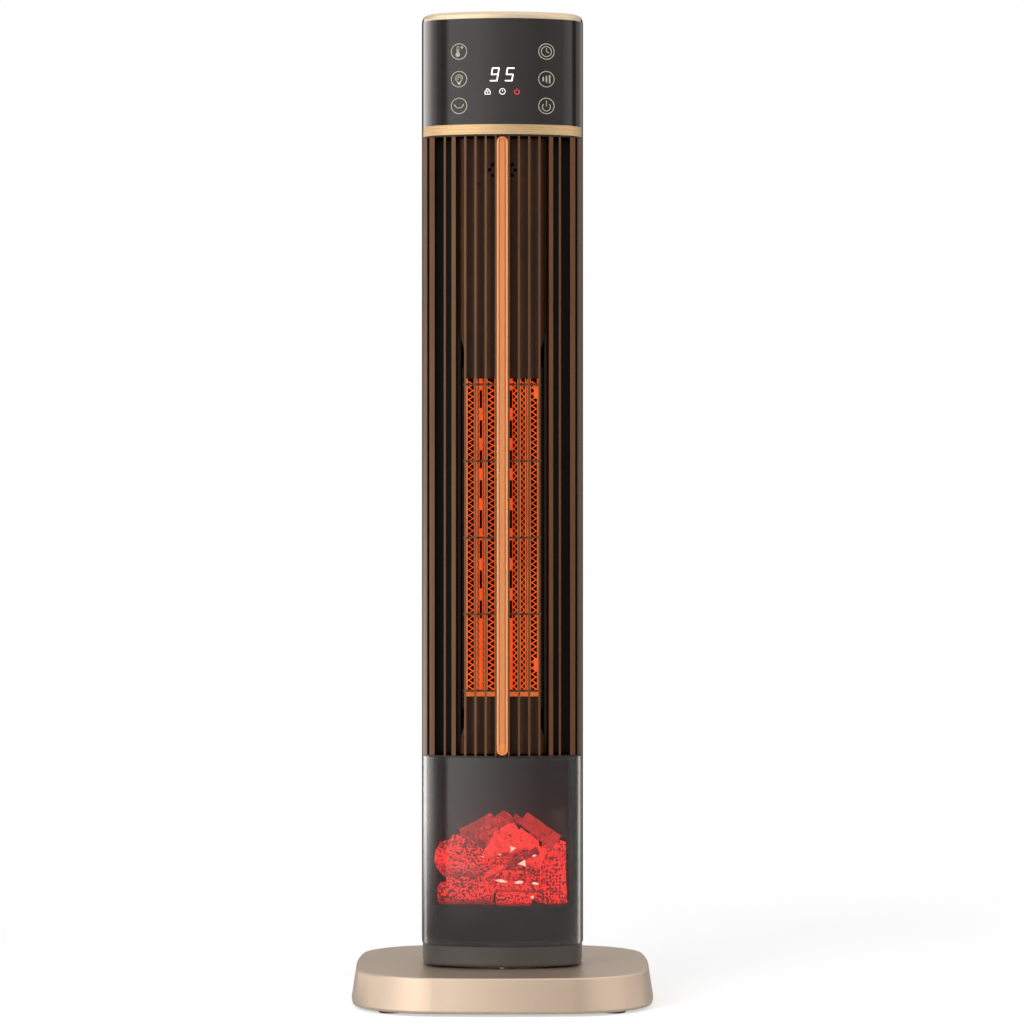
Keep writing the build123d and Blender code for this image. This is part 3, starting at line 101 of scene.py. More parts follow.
class ShaderSheet:
    """Adds shader nodes to one material or world; its patterns read one set of coordinates."""

    def __init__(self, owner: Material | World, output: str, coordinates: str) -> None:
        """Start with the output and the coordinates.

        Args:
            owner: The material or world that the nodes belong to.
            output: Kind of its output node.
            coordinates: Kind of coordinates that its patterns read.
        """
        self.owner = owner
        owner.use_nodes = True
        self.tree = owner.node_tree
        self.tree.nodes.clear()
        self.output = self.add(output)
        self.where = self.add("TexCoord").outputs[coordinates]

    @classmethod
    def material(cls, name: str, stretch: Point = (1.0, 1.0, 1.0)) -> ShaderSheet:
        """Start the sheet of a new material.

        Args:
            name: Name of the material.
            stretch: Factors on the coordinates along each axis.

        Returns:
            The sheet.
        """
        sheet = cls(bpy.data.materials.new(name), "OutputMaterial", "Object")
        stretched = sheet.add("Mapping", {"Vector": sheet.where, "Scale": stretch})
        sheet.where = stretched.outputs["Vector"]
        return sheet

    def add(self, kind: str, inputs: dict[str | int, object] | None = None,
            **settings: object) -> bpy.types.Node:
        """Add a node.

        Args:
            kind: Type name of the node, without ShaderNode in front.
            inputs: Value of each input, or the socket that feeds it.
            settings: Attributes to set on the node.

        Returns:
            The new node.
        """
        node = self.tree.nodes.new("ShaderNode" + kind)
        for key, value in settings.items():
            setattr(node, key, value)
        for key, value in (inputs or {}).items():
            socket = node.inputs[key]
            if isinstance(value, Socket):
                self.tree.links.new(value, socket)
            else:
                socket.default_value = (*value, 1.0) if socket.type == "RGBA" else value
        return node

    def axes(self, where: Socket | None = None) -> bpy.types.bpy_prop_collection:
        """Split the coordinates, or another direction, into X, Y and Z."""
        return self.add("SeparateXYZ", {"Vector": where or self.where}).outputs

    def clouds(self, scale: float, detail: float = 4.0, rough: float = 0.55) -> Socket:
        """Give noise with so many patches per metre, mostly from 0.3 to 0.7."""
        values = {"Vector": self.where, "Scale": scale, "Detail": detail, "Roughness": rough}
        return self.add("TexNoise", values).outputs["Fac"]

    def cells(self, scale: float, disorder: float = 1.0) -> Socket:
        """Give the distance to the nearest point of a pattern of cells."""
        values = {"Vector": self.where, "Scale": scale, "Randomness": disorder}
        return self.add("TexVoronoi", values).outputs["Distance"]

    def spread(self, source: Socket, low: float, high: float, start: float = 0.3,
               end: float = 0.7) -> Socket:
        """Map what runs from start to end to what runs from low to high."""
        values = {"Value": source, "From Min": start, "From Max": end, "To Min": low,
                  "To Max": high}
        return self.add("MapRange", values).outputs["Result"]

    def step(self, source: Socket, place: float, edge: float, low: float = 0.0,
             high: float = 1.0) -> Socket:
        """Go from low to high at a place, within an edge on each side of it."""
        return self.spread(source, low, high, place - edge, place + edge)

    def combine(self, operation: str, first: Socket, second: Socket | float) -> Socket:
        """Give the result of an operation on two values."""
        return self.add("Math", {0: first, 1: second}, operation=operation).outputs["Value"]

    def blend(self, share: Socket, first: Colour | Socket, second: Colour | Socket) -> Socket:
        """Mix two colours, by the share of the second."""
        values = {"Factor": share, MixPin.FIRST.value: first, MixPin.SECOND.value: second}
        return self.add("Mix", values, data_type="RGBA").outputs[MixPin.RESULT.value]

    def worn(self, pattern: Socket, low: float, high: float, relief: float) -> dict[str, Socket]:
        """Give a shader's roughness, from low to high, and its relief by one pattern."""
        bump = self.add("Bump", {"Height": pattern, "Distance": relief})
        return {"Roughness": self.spread(pattern, low, high), "Normal": bump.outputs["Normal"]}

    def either(self, share: Socket, first: Socket, second: Socket) -> Socket:
        """Mix two shaders, by the share of the second."""
        return self.add("MixShader", {0: share, 1: first, 2: second}).outputs["Shader"]

    def close(self, surface: Socket) -> Material | World:
        """Lead a shader to the output and give what the sheet belongs to."""
        self.tree.links.new(surface, self.output.inputs["Surface"])
        return self.owner

    def by_ray(self, plain: Socket, seen: Socket, mirror: Socket) -> Material | World:
        """Choose a shader by the kind of ray and close the sheet.

        Args:
            plain: Shader for the light that falls on the heater.
            seen: Shader for what the camera sees, also through glass.
            mirror: Shader for what shows in gloss and metal.

        Returns:
            The finished material or world.
        """
        path = self.add("LightPath").outputs
        direct = self.combine("MAXIMUM", path["Is Camera Ray"], path["Is Transmission Ray"])
        glossy = self.either(path["Is Glossy Ray"], plain, mirror)
        return self.close(self.either(direct, glossy, seen))


@dataclass(frozen=True)
class Finish:
    """A finish whose colour, roughness and relief drift over the surface.

    Patches of colour and grain are counted per metre, and a stretch draws them out.
    """

    name: str
    colour: Colour
    shade: Colour
    roughness: float = 0.45
    drift: float = 0.06
    metallic: float = 0.0
    specular: float = 0.5
    coat: float = 0.0
    coat_roughness: float = 0.1
    patches: float = 22.0
    grain: float = 1400.0
    grain_detail: float = 3.0
    relief: float = 0.00002
    stretch: Point = (1.0, 1.0, 1.0)

    def overlays(self, sheet: ShaderSheet) -> Overlays:
        """Give what lies over the drifting colour, as shares and colours from the lowest up."""
        return ()

    def touch(self, sheet: ShaderSheet) -> dict[str, Socket]:
        """Give the shader's roughness and fine relief."""
        low, high = self.roughness - self.drift, self.roughness + self.drift
        grain = sheet.clouds(self.grain, self.grain_detail)
        return sheet.worn(grain, low, high, self.relief)

    def light(self, sheet: ShaderSheet) -> dict[str, Socket | float]:
        """Give the shader's own light, which most finishes don't have."""
        return {}

    def build(self) -> Material:
        """Make the material.

        Returns:
            The finished material.
        """
        sheet = ShaderSheet.material(self.name, self.stretch)
        share = sheet.spread(sheet.clouds(self.patches), 0.0, 1.0)
        colour = sheet.blend(share, self.colour, self.shade)
        for share, paint in self.overlays(sheet):
            colour = sheet.blend(share, colour, paint)
        shader = sheet.add("BsdfPrincipled", {
            "Base Color": colour, "Metallic": self.metallic, "Specular IOR Level": self.specular,
            "Coat Weight": self.coat, "Coat Roughness": self.coat_roughness,
            **self.touch(sheet), **self.light(sheet)})
        return sheet.close(shader.outputs["BSDF"])


@dataclass(frozen=True)
class FlakePaint(Finish):
    """Satin paint with fine metal flakes."""

    flakes: float = 1500.0
    flake_tone: Colour = tone(240, 218, 195)
    flake_share: float = 0.1
    flake_edge: Flat = (0.05, 0.45)

    def overlays(self, sheet: ShaderSheet) -> Overlays:
        """Scatter bright flakes."""
        flakes = sheet.spread(sheet.cells(self.flakes), self.flake_share, 0.0, *self.flake_edge)
        return ((flakes, self.flake_tone),)


@dataclass(frozen=True)
class StripCopper(Finish):
    """Copper paint of the centre strip, darker in its grooves and lighter along its border."""

    border: Colour = tone(244, 166, 106)
    groove: Colour = tone(218, 112, 40)
    groove_inner: float = 1.8 * MM
    groove_outer: float = 2.7 * MM
    edge: float = 0.15 * MM
    end_tone: Colour = tone(250, 150, 70)
    end_share: float = 0.55
    end_height: float = 196.0 * MM

    def overlays(self, sheet: ShaderSheet) -> Overlays:
        """Paint the bands across the strip and its brighter lower end.

        Args:
            sheet: Sheet that takes the nodes.

        Returns:
            The groove, the border beyond it and the lower end.
        """
        axes = sheet.axes()
        side = sheet.combine("ABSOLUTE", axes["X"], 0.0)
        return ((sheet.step(side, self.groove_inner, self.edge), self.groove),
                (sheet.step(side, self.groove_outer, self.edge), self.border),
                (sheet.step(axes["Z"], self.end_height, MM, self.end_share, 0.0), self.end_tone))


@dataclass(frozen=True)
class RimmedMoulding(Finish):
    """Moulding whose lower and upper rims are darker."""

    rim: Colour = tone(52, 42, 36)
    low: float = 186.9 * MM
    high: float = 647.1 * MM
    edge: float = 0.3 * MM

    def overlays(self, sheet: ShaderSheet) -> Overlays:
        """Darken both rims.

        Args:
            sheet: Sheet that takes the nodes.

        Returns:
            The rims.
        """
        height = sheet.axes()["Z"]
        under = sheet.step(height, self.low, self.edge, 1.0, 0.0)
        above = sheet.step(height, self.high, self.edge)
        return ((sheet.combine("MAXIMUM", under, above), self.rim),)


@dataclass(frozen=True)
class RecessShadedMoulding(Finish):
    """Moulding with painted shade in its recesses: its colour darkens from the face back to the
    floor.
    """

    # Colour of the painted shade at the floor of the recesses.
    deep: Colour = tone(16, 12, 9)
    face: float = -44.5 * MM
    floor: float = -36.0 * MM

    def overlays(self, sheet: ShaderSheet) -> Overlays:
        """Paint shade on what lies behind the face, darker towards the floor."""
        return ((sheet.spread(sheet.axes()["Y"], 0.0, 1.0, self.face, self.floor), self.deep),)


@dataclass(frozen=True)
class BrushedMetal(Finish):
    """Metal with fine lines along the way that it was brushed, in a tone of their own or darker."""

    lines: float = 60.0
    line_detail: float = 3.0
    line_rough: float = 0.7
    line_edge: Flat = (0.42, 0.66)
    line_share: float = 0.8
    line_relief: float = 0.000012
    line_tone: Colour | None = None

    def overlays(self, sheet: ShaderSheet) -> Overlays:
        """Draw the brushed lines."""
        lines = sheet.clouds(self.lines, self.line_detail, self.line_rough)
        return ((sheet.spread(lines, 0.0, self.line_share, *self.line_edge),
                 self.line_tone or self.shade),)

    def touch(self, sheet: ShaderSheet) -> dict[str, Socket]:
        """Lay the brushed lines over the roughness and the relief."""
        low, high = self.roughness - self.drift, self.roughness + 2 * self.drift
        lines = sheet.clouds(self.lines, 2 * self.line_detail, self.line_rough)
        return sheet.worn(lines, low, high, self.line_relief)


@dataclass(frozen=True)
class GlowingFinish(Finish):
    """A finish that gives its own light, brighter in some patches than in others."""

    roughness: float = 0.5
    glow: Colour = (1.0, 1.0, 1.0)
    glow_shade: Colour = (1.0, 1.0, 1.0)
    strength: float = 1.0
    glow_patches: float = 60.0
    glow_edge: Flat = (0.35, 0.65)

    def light(self, sheet: ShaderSheet) -> dict[str, Socket | float]:
        """Give the light."""
        share = sheet.spread(sheet.clouds(self.glow_patches), 0.0, 1.0, *self.glow_edge)
        return {"Emission Color": sheet.blend(share, self.glow, self.glow_shade),
                "Emission Strength": self.strength}


@dataclass(frozen=True)
class EmberResin(Finish):
    """Lit resin of the ember bed: red, with soft dark grain, painted shade on its undersides and
    charred crumbs.

    Noise above a cut is dark, so a lower cut leaves less bright. A mesh of 0 leaves out the holes.
    """

    roughness: float = 0.5
    grain: float = 600.0
    relief: float = 0.0002
    glow: Colour = tone(255, 50, 44)
    deep: Colour = tone(214, 36, 34)
    # Colour of the charred crumbs, also used for the painted shade on the undersides.
    char_and_shade: Colour = tone(62, 16, 15)
    strength: float = 2.45
    bark: float = 150.0
    bark_detail: float = 6.0
    bark_rough: float = 0.7
    bark_cut: float = 0.53
    bark_edge: float = 0.1
    # Painted shade: how far faces that turn downwards blend towards the char colour.
    underside_painted_shade: float = 0.75
    underside_shade_span: Flat = (-0.85, -0.1)
    crumbs: float = 640.0
    crumb_detail: float = 2.0
    crumb_rough: float = 0.5
    crumb_cut: float = 0.5
    crumb_edge: float = 0.02
    crumb_dark: float = 0.95
    uneven: float = 0.07
    uneven_patches: float = 60.0
    mesh: float = 0.0
    mesh_disorder: float = 0.5
    mesh_span: Flat = (0.36, 0.5)

    def light(self, sheet: ShaderSheet) -> dict[str, Socket | float]:
        """Light the resin and darken it with grain, painted shade on the undersides and crumbs.

        Args:
            sheet: Sheet that takes the nodes.

        Returns:
            What feeds the shader's inputs of light.
        """
        bark = sheet.clouds(self.bark, self.bark_detail, self.bark_rough)
        bark = sheet.spread(bark, 0.0, 1.0, self.bark_cut, self.bark_cut + self.bark_edge)
        glow = sheet.blend(bark, self.glow, self.deep)
        # Painted shade on the undersides, by how far each face turns downwards.
        facing = sheet.axes(sheet.add("TexCoord").outputs["Normal"])["Z"]
        under = sheet.spread(facing, self.underside_painted_shade, 0.0, *self.underside_shade_span)
        glow = sheet.blend(under, glow, self.char_and_shade)
        uneven = sheet.clouds(self.uneven_patches, self.crumb_detail)
        uneven = sheet.spread(uneven, -self.uneven, self.uneven)
        crumb = sheet.clouds(self.crumbs, self.crumb_detail, self.crumb_rough)
        crumb = sheet.combine("ADD", crumb, uneven)
        dark = sheet.spread(crumb, 0.0, self.crumb_dark, self.crumb_cut,
                            self.crumb_cut + self.crumb_edge)
        if self.mesh:
            holes = sheet.cells(self.mesh, self.mesh_disorder)
            holes = sheet.spread(holes, self.crumb_dark, 0.0, *self.mesh_span)
            dark = sheet.combine("MAXIMUM", dark, holes)
        return {"Emission Color": sheet.blend(dark, glow, self.char_and_shade),
                "Emission Strength": self.strength}


@dataclass(frozen=True)
class BoardLaminate(Finish):
    """Circuit board laminate with a maze of tracks."""

    track: Colour = (0.05, 0.26, 0.10)
    tracks: float = 90.0
    track_width: float = 0.035

    def overlays(self, sheet: ShaderSheet) -> Overlays:
        """Draw the tracks.

        Args:
            sheet: Sheet that takes the nodes.

        Returns:
            The tracks.
        """
        upright = {"Vector": sheet.where, "Rotation": (math.pi / 2, 0.0, 0.0)}
        turned = sheet.add("Mapping", upright).outputs["Vector"]
        maze = {"Vector": turned, "Scale": self.tracks, "Mortar Size": self.track_width}
        return ((sheet.add("TexBrick", maze).outputs["Fac"], self.track),)


@dataclass(frozen=True)
class SmokedGlass:
    """Clear smoked front that lets lamps through to what is behind it."""

    name: str
    tint: Colour
    shade: Colour
    roughness: float = 0.02
    index: float = 1.46
    patches: float = 9.0
    haze: float = 240.0

    def build(self) -> Material:
        """Make the material.

        Returns:
            The finished material.
        """
        sheet = ShaderSheet.material(self.name)
        share = sheet.spread(sheet.clouds(self.patches), 0.0, 1.0)
        haze = sheet.spread(sheet.clouds(self.haze), 0.0, 2 * self.roughness)
        glass = sheet.add("BsdfPrincipled", {
            "Transmission Weight": 1.0, "IOR": self.index, "Roughness": haze,
            "Base Color": sheet.blend(share, self.tint, self.shade)}).outputs["BSDF"]
        clear = sheet.add("BsdfTransparent", {"Color": self.tint}).outputs["BSDF"]
        shadow = sheet.add("LightPath").outputs["Is Shadow Ray"]
        return sheet.close(sheet.either(shadow, glass, clear))


class Look(Enum):
    """The heater's finishes."""

    BASE_PAINT = FlakePaint(
        "champagne_paint", tone(238, 214, 190), tone(233, 208, 183), roughness=0.3, drift=0.01,
        metallic=0.7, grain=700.0, relief=0.0000003)
    COLLAR = Finish(
        "collar_satin", tone(78, 73, 69), tone(72, 68, 64), roughness=0.34, drift=0.04,
        relief=0.00001)
    HEAD_GLOSS = Finish(
        "head_gloss", tone(36, 32, 30), tone(33, 29, 27), roughness=0.07, drift=0.02, coat=1.0,
        coat_roughness=0.03, grain=500.0, relief=0.000001)
    WINDOW = SmokedGlass("smoked_window", tone(176, 172, 169), tone(199, 195, 192))
    LINER = Finish(
        "liner_grey", tone(78, 74, 71), tone(71, 68, 65), roughness=0.55, drift=0.05, specular=0.2,
        relief=0.00001)
    BRONZE = RimmedMoulding(
        "bronze_moulding", tone(112, 73, 43), tone(104, 67, 39), roughness=0.38, drift=0.05,
        metallic=0.2, specular=0.35, relief=0.00001)
    # Baffle bronze with painted shade in its recesses.
    PANEL_BRONZE = RecessShadedMoulding(
        "panel_bronze", tone(88, 59, 39), tone(80, 53, 35), roughness=0.5, drift=0.05,
        specular=0.25, relief=0.00001)
    GOLD = BrushedMetal(
        "gold_trim", tone(231, 196, 148), tone(226, 189, 140), roughness=0.26, drift=0.04,
        metallic=0.55, stretch=(0.4, 0.4, 40.0), line_tone=tone(216, 177, 128))
    # Lighter copy of the gold for the cap: a painted highlight for the light that its face catches.
    CAP_GOLD = BrushedMetal(
        "cap_gold", tone(250, 228, 196), tone(244, 220, 186), roughness=0.24, drift=0.04,
        metallic=0.5, stretch=(0.4, 0.4, 40.0), line_tone=tone(234, 206, 170))
    COPPER = StripCopper(
        "copper_strip", tone(222, 140, 84), tone(216, 134, 78), roughness=0.4, drift=0.04,
        metallic=0.1, coat=0.2, relief=0.000006)
    BLACK = Finish(
        "black_moulding", tone(38, 36, 34), tone(33, 31, 30), roughness=0.42, drift=0.05,
        specular=0.26, grain=2200.0, relief=0.00003)
    HEATPROOF = Finish(
        "heatproof_moulding", tone(24, 20, 17), tone(18, 15, 13), roughness=0.6, specular=0.3)
    # Painted glow: the element's fins, PTC strips and tabs are no lamps, but they are given orange
    # light of their own.
    RIBBON_PAINTED_GLOW = GlowingFinish(
        "glowing_ribbon", tone(110, 36, 14), tone(96, 30, 12), glow=tone(255, 92, 28),
        glow_shade=tone(246, 76, 18))
    # Painted highlight: the uprights glow light orange for the lit edges of the element's columns.
    HOT_BAR = GlowingFinish(
        "hot_bar", tone(150, 84, 44), tone(136, 70, 34), roughness=0.45, glow=tone(234, 118, 48),
        glow_shade=tone(214, 92, 34), strength=0.72)
    HOT_STONE = GlowingFinish(
        "hot_stone", tone(150, 60, 26), tone(130, 50, 20), roughness=0.65, glow=tone(240, 86, 30),
        glow_shade=tone(224, 74, 24), strength=0.92)
    HOT_TAB = GlowingFinish(
        "hot_tab", tone(190, 110, 60), tone(160, 90, 40), roughness=0.35, metallic=0.5,
        glow=tone(236, 88, 34), glow_shade=tone(222, 74, 24), strength=0.9)
    STEEL = BrushedMetal(
        "zinc_steel", tone(176, 176, 180), tone(160, 161, 166), roughness=0.32, drift=0.05,
        metallic=1.0, stretch=(30.0, 1.0, 1.0))
    SPRING_STEEL = BrushedMetal(
        "spring_steel", tone(190, 188, 184), tone(168, 166, 162), roughness=0.28, drift=0.04,
        metallic=1.0, stretch=(1.0, 1.0, 60.0))
    IRON = Finish(
        "iron_plate", tone(70, 68, 68), tone(58, 52, 48), roughness=0.62, drift=0.08, metallic=0.8,
        relief=0.00005)
    MOTOR = BrushedMetal(
        "motor_case", tone(136, 136, 138), tone(120, 121, 124), roughness=0.4, drift=0.05,
        metallic=0.8, stretch=(1.0, 1.0, 50.0))
    RUBBER = Finish(
        "soft_rubber", tone(34, 33, 33), tone(28, 27, 27), roughness=0.75, relief=0.00005)
    ACETAL = Finish(
        "natural_acetal", tone(226, 224, 216), tone(218, 215, 205), roughness=0.38, drift=0.04)
    BOARD = BoardLaminate(
        "board_laminate", tone(18, 88, 48), tone(14, 78, 42), roughness=0.35, coat=0.3)
    COMPONENT = Finish("component_black", tone(40, 40, 42), tone(34, 34, 36), roughness=0.5)
    WHEEL = Finish("wheel_moulding", tone(52, 52, 54), tone(46, 46, 48), roughness=0.5)
    WIRE = Finish(
        "wire_insulation", tone(36, 36, 38), tone(30, 30, 32), roughness=0.55,
        stretch=(1.0, 1.0, 0.2))
    LAMP = GlowingFinish(
        "red_lamp", tone(230, 60, 50), tone(210, 50, 40), roughness=0.2, glow=tone(255, 70, 50),
        glow_shade=tone(255, 50, 40))
    EMBER = EmberResin("ember_resin", tone(84, 16, 15), tone(66, 13, 12))
    EMBER_MESH = EmberResin(
        "ember_mesh", tone(84, 16, 15), tone(66, 13, 12), crumb_cut=0.608, mesh=430.0)
    EMBER_CHARRED = EmberResin(
        "ember_charred", tone(70, 15, 14), tone(52, 12, 11), roughness=0.55, glow=tone(214, 44, 42),
        deep=tone(150, 30, 29), bark_cut=0.395, crumb_cut=0.5792)
    EMBER_PLANK = EmberResin(
        "ember_plank", tone(80, 15, 14), tone(60, 12, 11), relief=0.0001, grain=500.0,
        glow=tone(184, 38, 36), deep=tone(158, 32, 31), bark_cut=0.5, crumb_cut=0.6584)
    EMBER_SMOOTH = EmberResin(
        "ember_smooth", tone(110, 20, 18), tone(96, 18, 16), roughness=0.4, relief=0.0001,
        grain=400.0, glow=tone(250, 56, 50), deep=tone(222, 42, 38), bark_cut=0.47,
        crumb_cut=0.6224)
    HOT_GAP = GlowingFinish(
        "hot_gap", tone(250, 220, 200), tone(250, 200, 180), glow=tone(255, 232, 215),
        glow_shade=tone(255, 205, 185), strength=1.8)
    PRINT = Finish("panel_print", tone(190, 183, 167), tone(184, 177, 161), roughness=0.5)
    DIGIT = GlowingFinish(
        "lit_digit", tone(235, 235, 235), tone(225, 225, 225), roughness=0.4,
        glow=tone(255, 255, 255), glow_shade=tone(246, 248, 250))
    RED_MARK = GlowingFinish(
        "lit_red_mark", tone(225, 60, 75), tone(210, 50, 65), roughness=0.4, glow=tone(232, 64, 84),
        glow_shade=tone(222, 52, 72), strength=0.9)
    SWITCH_MARK = Finish("switch_mark", tone(225, 225, 222), tone(215, 215, 212), roughness=0.5)

    @cached_property
    def material(self) -> Material:
        """Build the material when it is first asked for."""
        return self.value.build()


class Workpiece:
    """A new piece's mesh while it is shaped."""

    def __init__(self, name: str) -> None:
        """Start an empty mesh under the piece's name."""
        self.name = name
        self.shape = bmesh.new()

    def take(self, part: bmesh.types.BMesh, matrix: Matrix) -> None:
        """Add another mesh to this one and free it.

        Args:
            part: The mesh to add.
            matrix: Where it goes.
        """
        bmesh.ops.transform(part, matrix=matrix, verts=part.verts)
        holder = bpy.data.meshes.new("part")
        part.to_mesh(holder)
        part.free()
        self.shape.from_mesh(holder)
        bpy.data.meshes.remove(holder)

    def merge(self) -> None:
        """Merge doubles and turn the faces outwards."""
        bmesh.ops.remove_doubles(self.shape, verts=self.shape.verts, dist=MERGE)
        bmesh.ops.recalc_face_normals(self.shape, faces=self.shape.faces)

    def finish(self, body: Body, look: Look, smooth: bool = False) -> bpy.types.Object:
        """Turn the mesh into a piece that rides on a body.

        Args:
            body: Body that carries the piece.
            look: Finish of the piece.
            smooth: Whether its faces are shaded smooth.

        Returns:
            The new object.
        """
        self.merge()
        for face in self.shape.faces:
            face.smooth = smooth
        mesh = bpy.data.meshes.new(self.name)
        self.shape.to_mesh(mesh)
        self.shape.free()
        mesh.materials.append(look.material)
        piece = bpy.data.objects.new(self.name, mesh)
        bpy.context.scene.collection.objects.link(piece)
        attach(piece, body.value)
        LOG.info("piece %s on %s with %d faces", self.name, body.value, len(mesh.polygons))
        return piece


@dataclass(frozen=True)
class FrontOutline:
    """Plan of the tower's front: a shallow arc between two corner arcs."""

    front: float = 59.0 * MM
    front_radius: float = 110.0 * MM
    corner_radius: float = 24.0 * MM
    corner_x: float = 35.65 * MM
    corner_y: float = 27.263 * MM
    arc_end: float = 45.599 * MM

    def depth(self, x: float, z: float) -> float:
        """Give the surface's Y at a place on the front.

        Args:
            x: Distance from the middle.
            z: Height, which doesn't matter on an upright front.

        Returns:
            The Y of the outline there.
        """
        if abs(x) <= self.arc_end:
            return self.front_radius - self.front - math.sqrt(self.front_radius ** 2 - x * x)
        run = abs(x) - self.corner_x
        return -self.corner_y - math.sqrt(max(0.0, self.corner_radius ** 2 - run * run))


@dataclass(frozen=True)
class Ring:
    """Ring or arc of a symbol, in millimetres and in degrees from +X towards +Z.

    A line of 0 is as wide as the symbol's other lines.
    """

    radius: float
    start: float = 0.0
    end: float = 360.0
    x: float = 0.0
    z: float = 0.0
    line: float = 0.0
    step: float = 7.5
    fewest: int = 6

    def draw(self, work: Workpiece, line: float) -> None:
        """Draw the ring.

        Args:
            work: Piece that takes it.
            line: Width of the symbol's lines in millimetres.
        """
        half = (self.line or line) * MM / 2
        part = bmesh.new()
        turn = Matrix.Rotation(-math.radians(self.start), 4, "Y")
        ends = [part.verts.new(turn @ Vector((self.radius * MM + side * half, 0.0, 0.0)))
                for side in (-1, 1)]
        edge = part.edges.new(ends)
        sweep = self.end - self.start
        bmesh.ops.spin(part, geom=[*ends, edge], cent=(0, 0, 0), axis=(0, -1, 0),
                       steps=max(self.fewest, int(sweep / self.step)),
                       angle=math.radians(sweep), use_merge=sweep >= 360.0)
        work.take(part, Matrix.Translation((self.x * MM, 0.0, self.z * MM)))


@dataclass(frozen=True)
class Bar:
    """Straight bar of a symbol between two places in millimetres.

    A line of 0 is as wide as the symbol's other lines, and a taper is the width at the end as a
    share of that at the start.
    """

    start: Flat
    end: Flat
    line: float = 0.0
    taper: float = 1.0
    pieces: int = 4

    def draw(self, work: Workpiece, line: float) -> None:
        """Draw the bar.

        Args:
            work: Piece that takes it.
            line: Width of the symbol's lines in millimetres.
        """
        part = bmesh.new()
        bmesh.ops.create_grid(part, x_segments=self.pieces, y_segments=1, size=0.5)
        for vertex in part.verts:
            vertex.co.y *= 1.0 + (self.taper - 1.0) * (vertex.co.x + 0.5)
        size = (math.dist(self.start, self.end) * MM, (self.line or line) * MM, 1.0)
        bmesh.ops.scale(part, vec=size, verts=part.verts)
        (x, z), (end_x, end_z) = self.start, self.end
        lean = Matrix.Rotation(-math.atan2(end_z - z, end_x - x), 4, "Y")
        middle = Matrix.Translation(((x + end_x) / 2 * MM, 0.0, (z + end_z) / 2 * MM))
        work.take(part, middle @ lean @ Matrix.Rotation(math.pi / 2, 4, "X"))


@dataclass(frozen=True)
class Dot:
    """Filled disc of a symbol, in millimetres."""

    radius: float
    x: float = 0.0
    z: float = 0.0
    sides: int = 24

    def draw(self, work: Workpiece, line: float) -> None:
        """Draw the disc.

        Args:
            work: Piece that takes it.
            line: Width of the symbol's lines, which a disc doesn't have.
        """
        part = bmesh.new()
        bmesh.ops.create_circle(part, cap_ends=True, cap_tris=True, segments=self.sides,
                                radius=self.radius * MM)
        middle = Matrix.Translation((self.x * MM, 0.0, self.z * MM))
        work.take(part, middle @ Matrix.Rotation(math.pi / 2, 4, "X"))


Stroke = Ring | Bar | Dot


def level_bar(x: float, half: float, width: float = 1.1) -> tuple[Stroke, ...]:
    """Give an upright bar with round ends, in millimetres."""
    ends = ((x, -half), (x, half))
    return (*(Dot(width / 2, *end) for end in ends), Bar(*ends, width))


def swing_tip(side: int, radius: float = 3.3, middle: float = 1.7, reach: float = 62.0,
              out: float = 0.5, rise: float = 1.2, width: float = 1.2, taper: float = 0.15) -> Bar:
    """Give the tip at one end of the swing's arc, in millimetres.

    Args:
        side: -1 for the left tip and 1 for the right one.
        radius: Radius of the arc.
        middle: Height of its centre.
        reach: Degrees from the arc's lowest point to the tip's foot.
        out: How far the tip leans outwards.
        rise: How far it rises.
        width: Width of its foot.
        taper: Width of its point as a share of that of its foot.

    Returns:
        The tip.
    """
    lean = math.radians(270 + side * reach)
    x, z = radius * math.cos(lean), middle + radius * math.sin(lean)
    return Bar((x, z), (x + side * out, z + rise), width, taper)


class Symbol(Enum):
    """Symbols of the touch panel and the mains switch, as their strokes."""

    THERMOMETER = (
        Bar((-1.7, -1.2), (-1.7, 3.0), 0.4), Bar((-0.1, -1.2), (-0.1, 3.0), 0.4),
        Ring(0.8, 0.0, 180.0, -0.9, 3.0, 0.4), Bar((-0.9, -2.0), (-0.9, 1.8), 0.75),
        Dot(1.65, -0.9, -2.3), Bar((2.1, 3.7), (2.1, 1.7), 2.4, 0.08))
    LAMP = (
        Ring(2.5, -52.0, 232.0, z=0.7), Ring(1.05, -30.0, 250.0, z=0.7, line=0.55),
        Bar((-1.5, -1.2), (-1.05, -2.4), 0.55), Bar((1.5, -1.2), (1.05, -2.4), 0.55),
        Bar((0.0, -2.1), (0.0, -4.1), 2.5, 0.6))
    SWING = (Ring(3.3, 204.0, 336.0, z=1.7), swing_tip(-1), swing_tip(1))
    CLOCK = (
        Ring(3.75, line=0.55), Bar((0.0, -0.3), (0.0, 2.6), 0.55),
        Bar((-0.2, 0.0), (1.9, -0.9), 0.55))
    LEVEL = (*level_bar(-2.35, 1.2), *level_bar(0.0, 2.0), *level_bar(2.4, 2.6))
    POWER = (Ring(2.95, 135.0, 405.0, z=-0.8), Bar((0.0, -0.4), (0.0, 4.1)))
    LOCK = (
        Bar((-1.95, -2.0), (1.95, -2.0)), Bar((-1.95, 0.3), (1.95, 0.3)),
        Bar((-1.95, -2.0), (-1.95, 0.3)), Bar((1.95, -2.0), (1.95, 0.3)),
        Bar((0.0, -1.4), (0.0, -0.4)), Ring(1.2, 0.0, 180.0, z=0.8))
    TIMER = (Ring(2.1), Bar((0.0, -0.2), (0.0, 1.1)))
    STANDBY = (Ring(1.85, 130.0, 410.0, z=-0.2), Bar((0.0, 0.2), (0.0, 2.2)))
    ON_OFF = (Bar((0.0, 2.9), (0.0, 5.9)), Ring(1.5, z=-4.4))


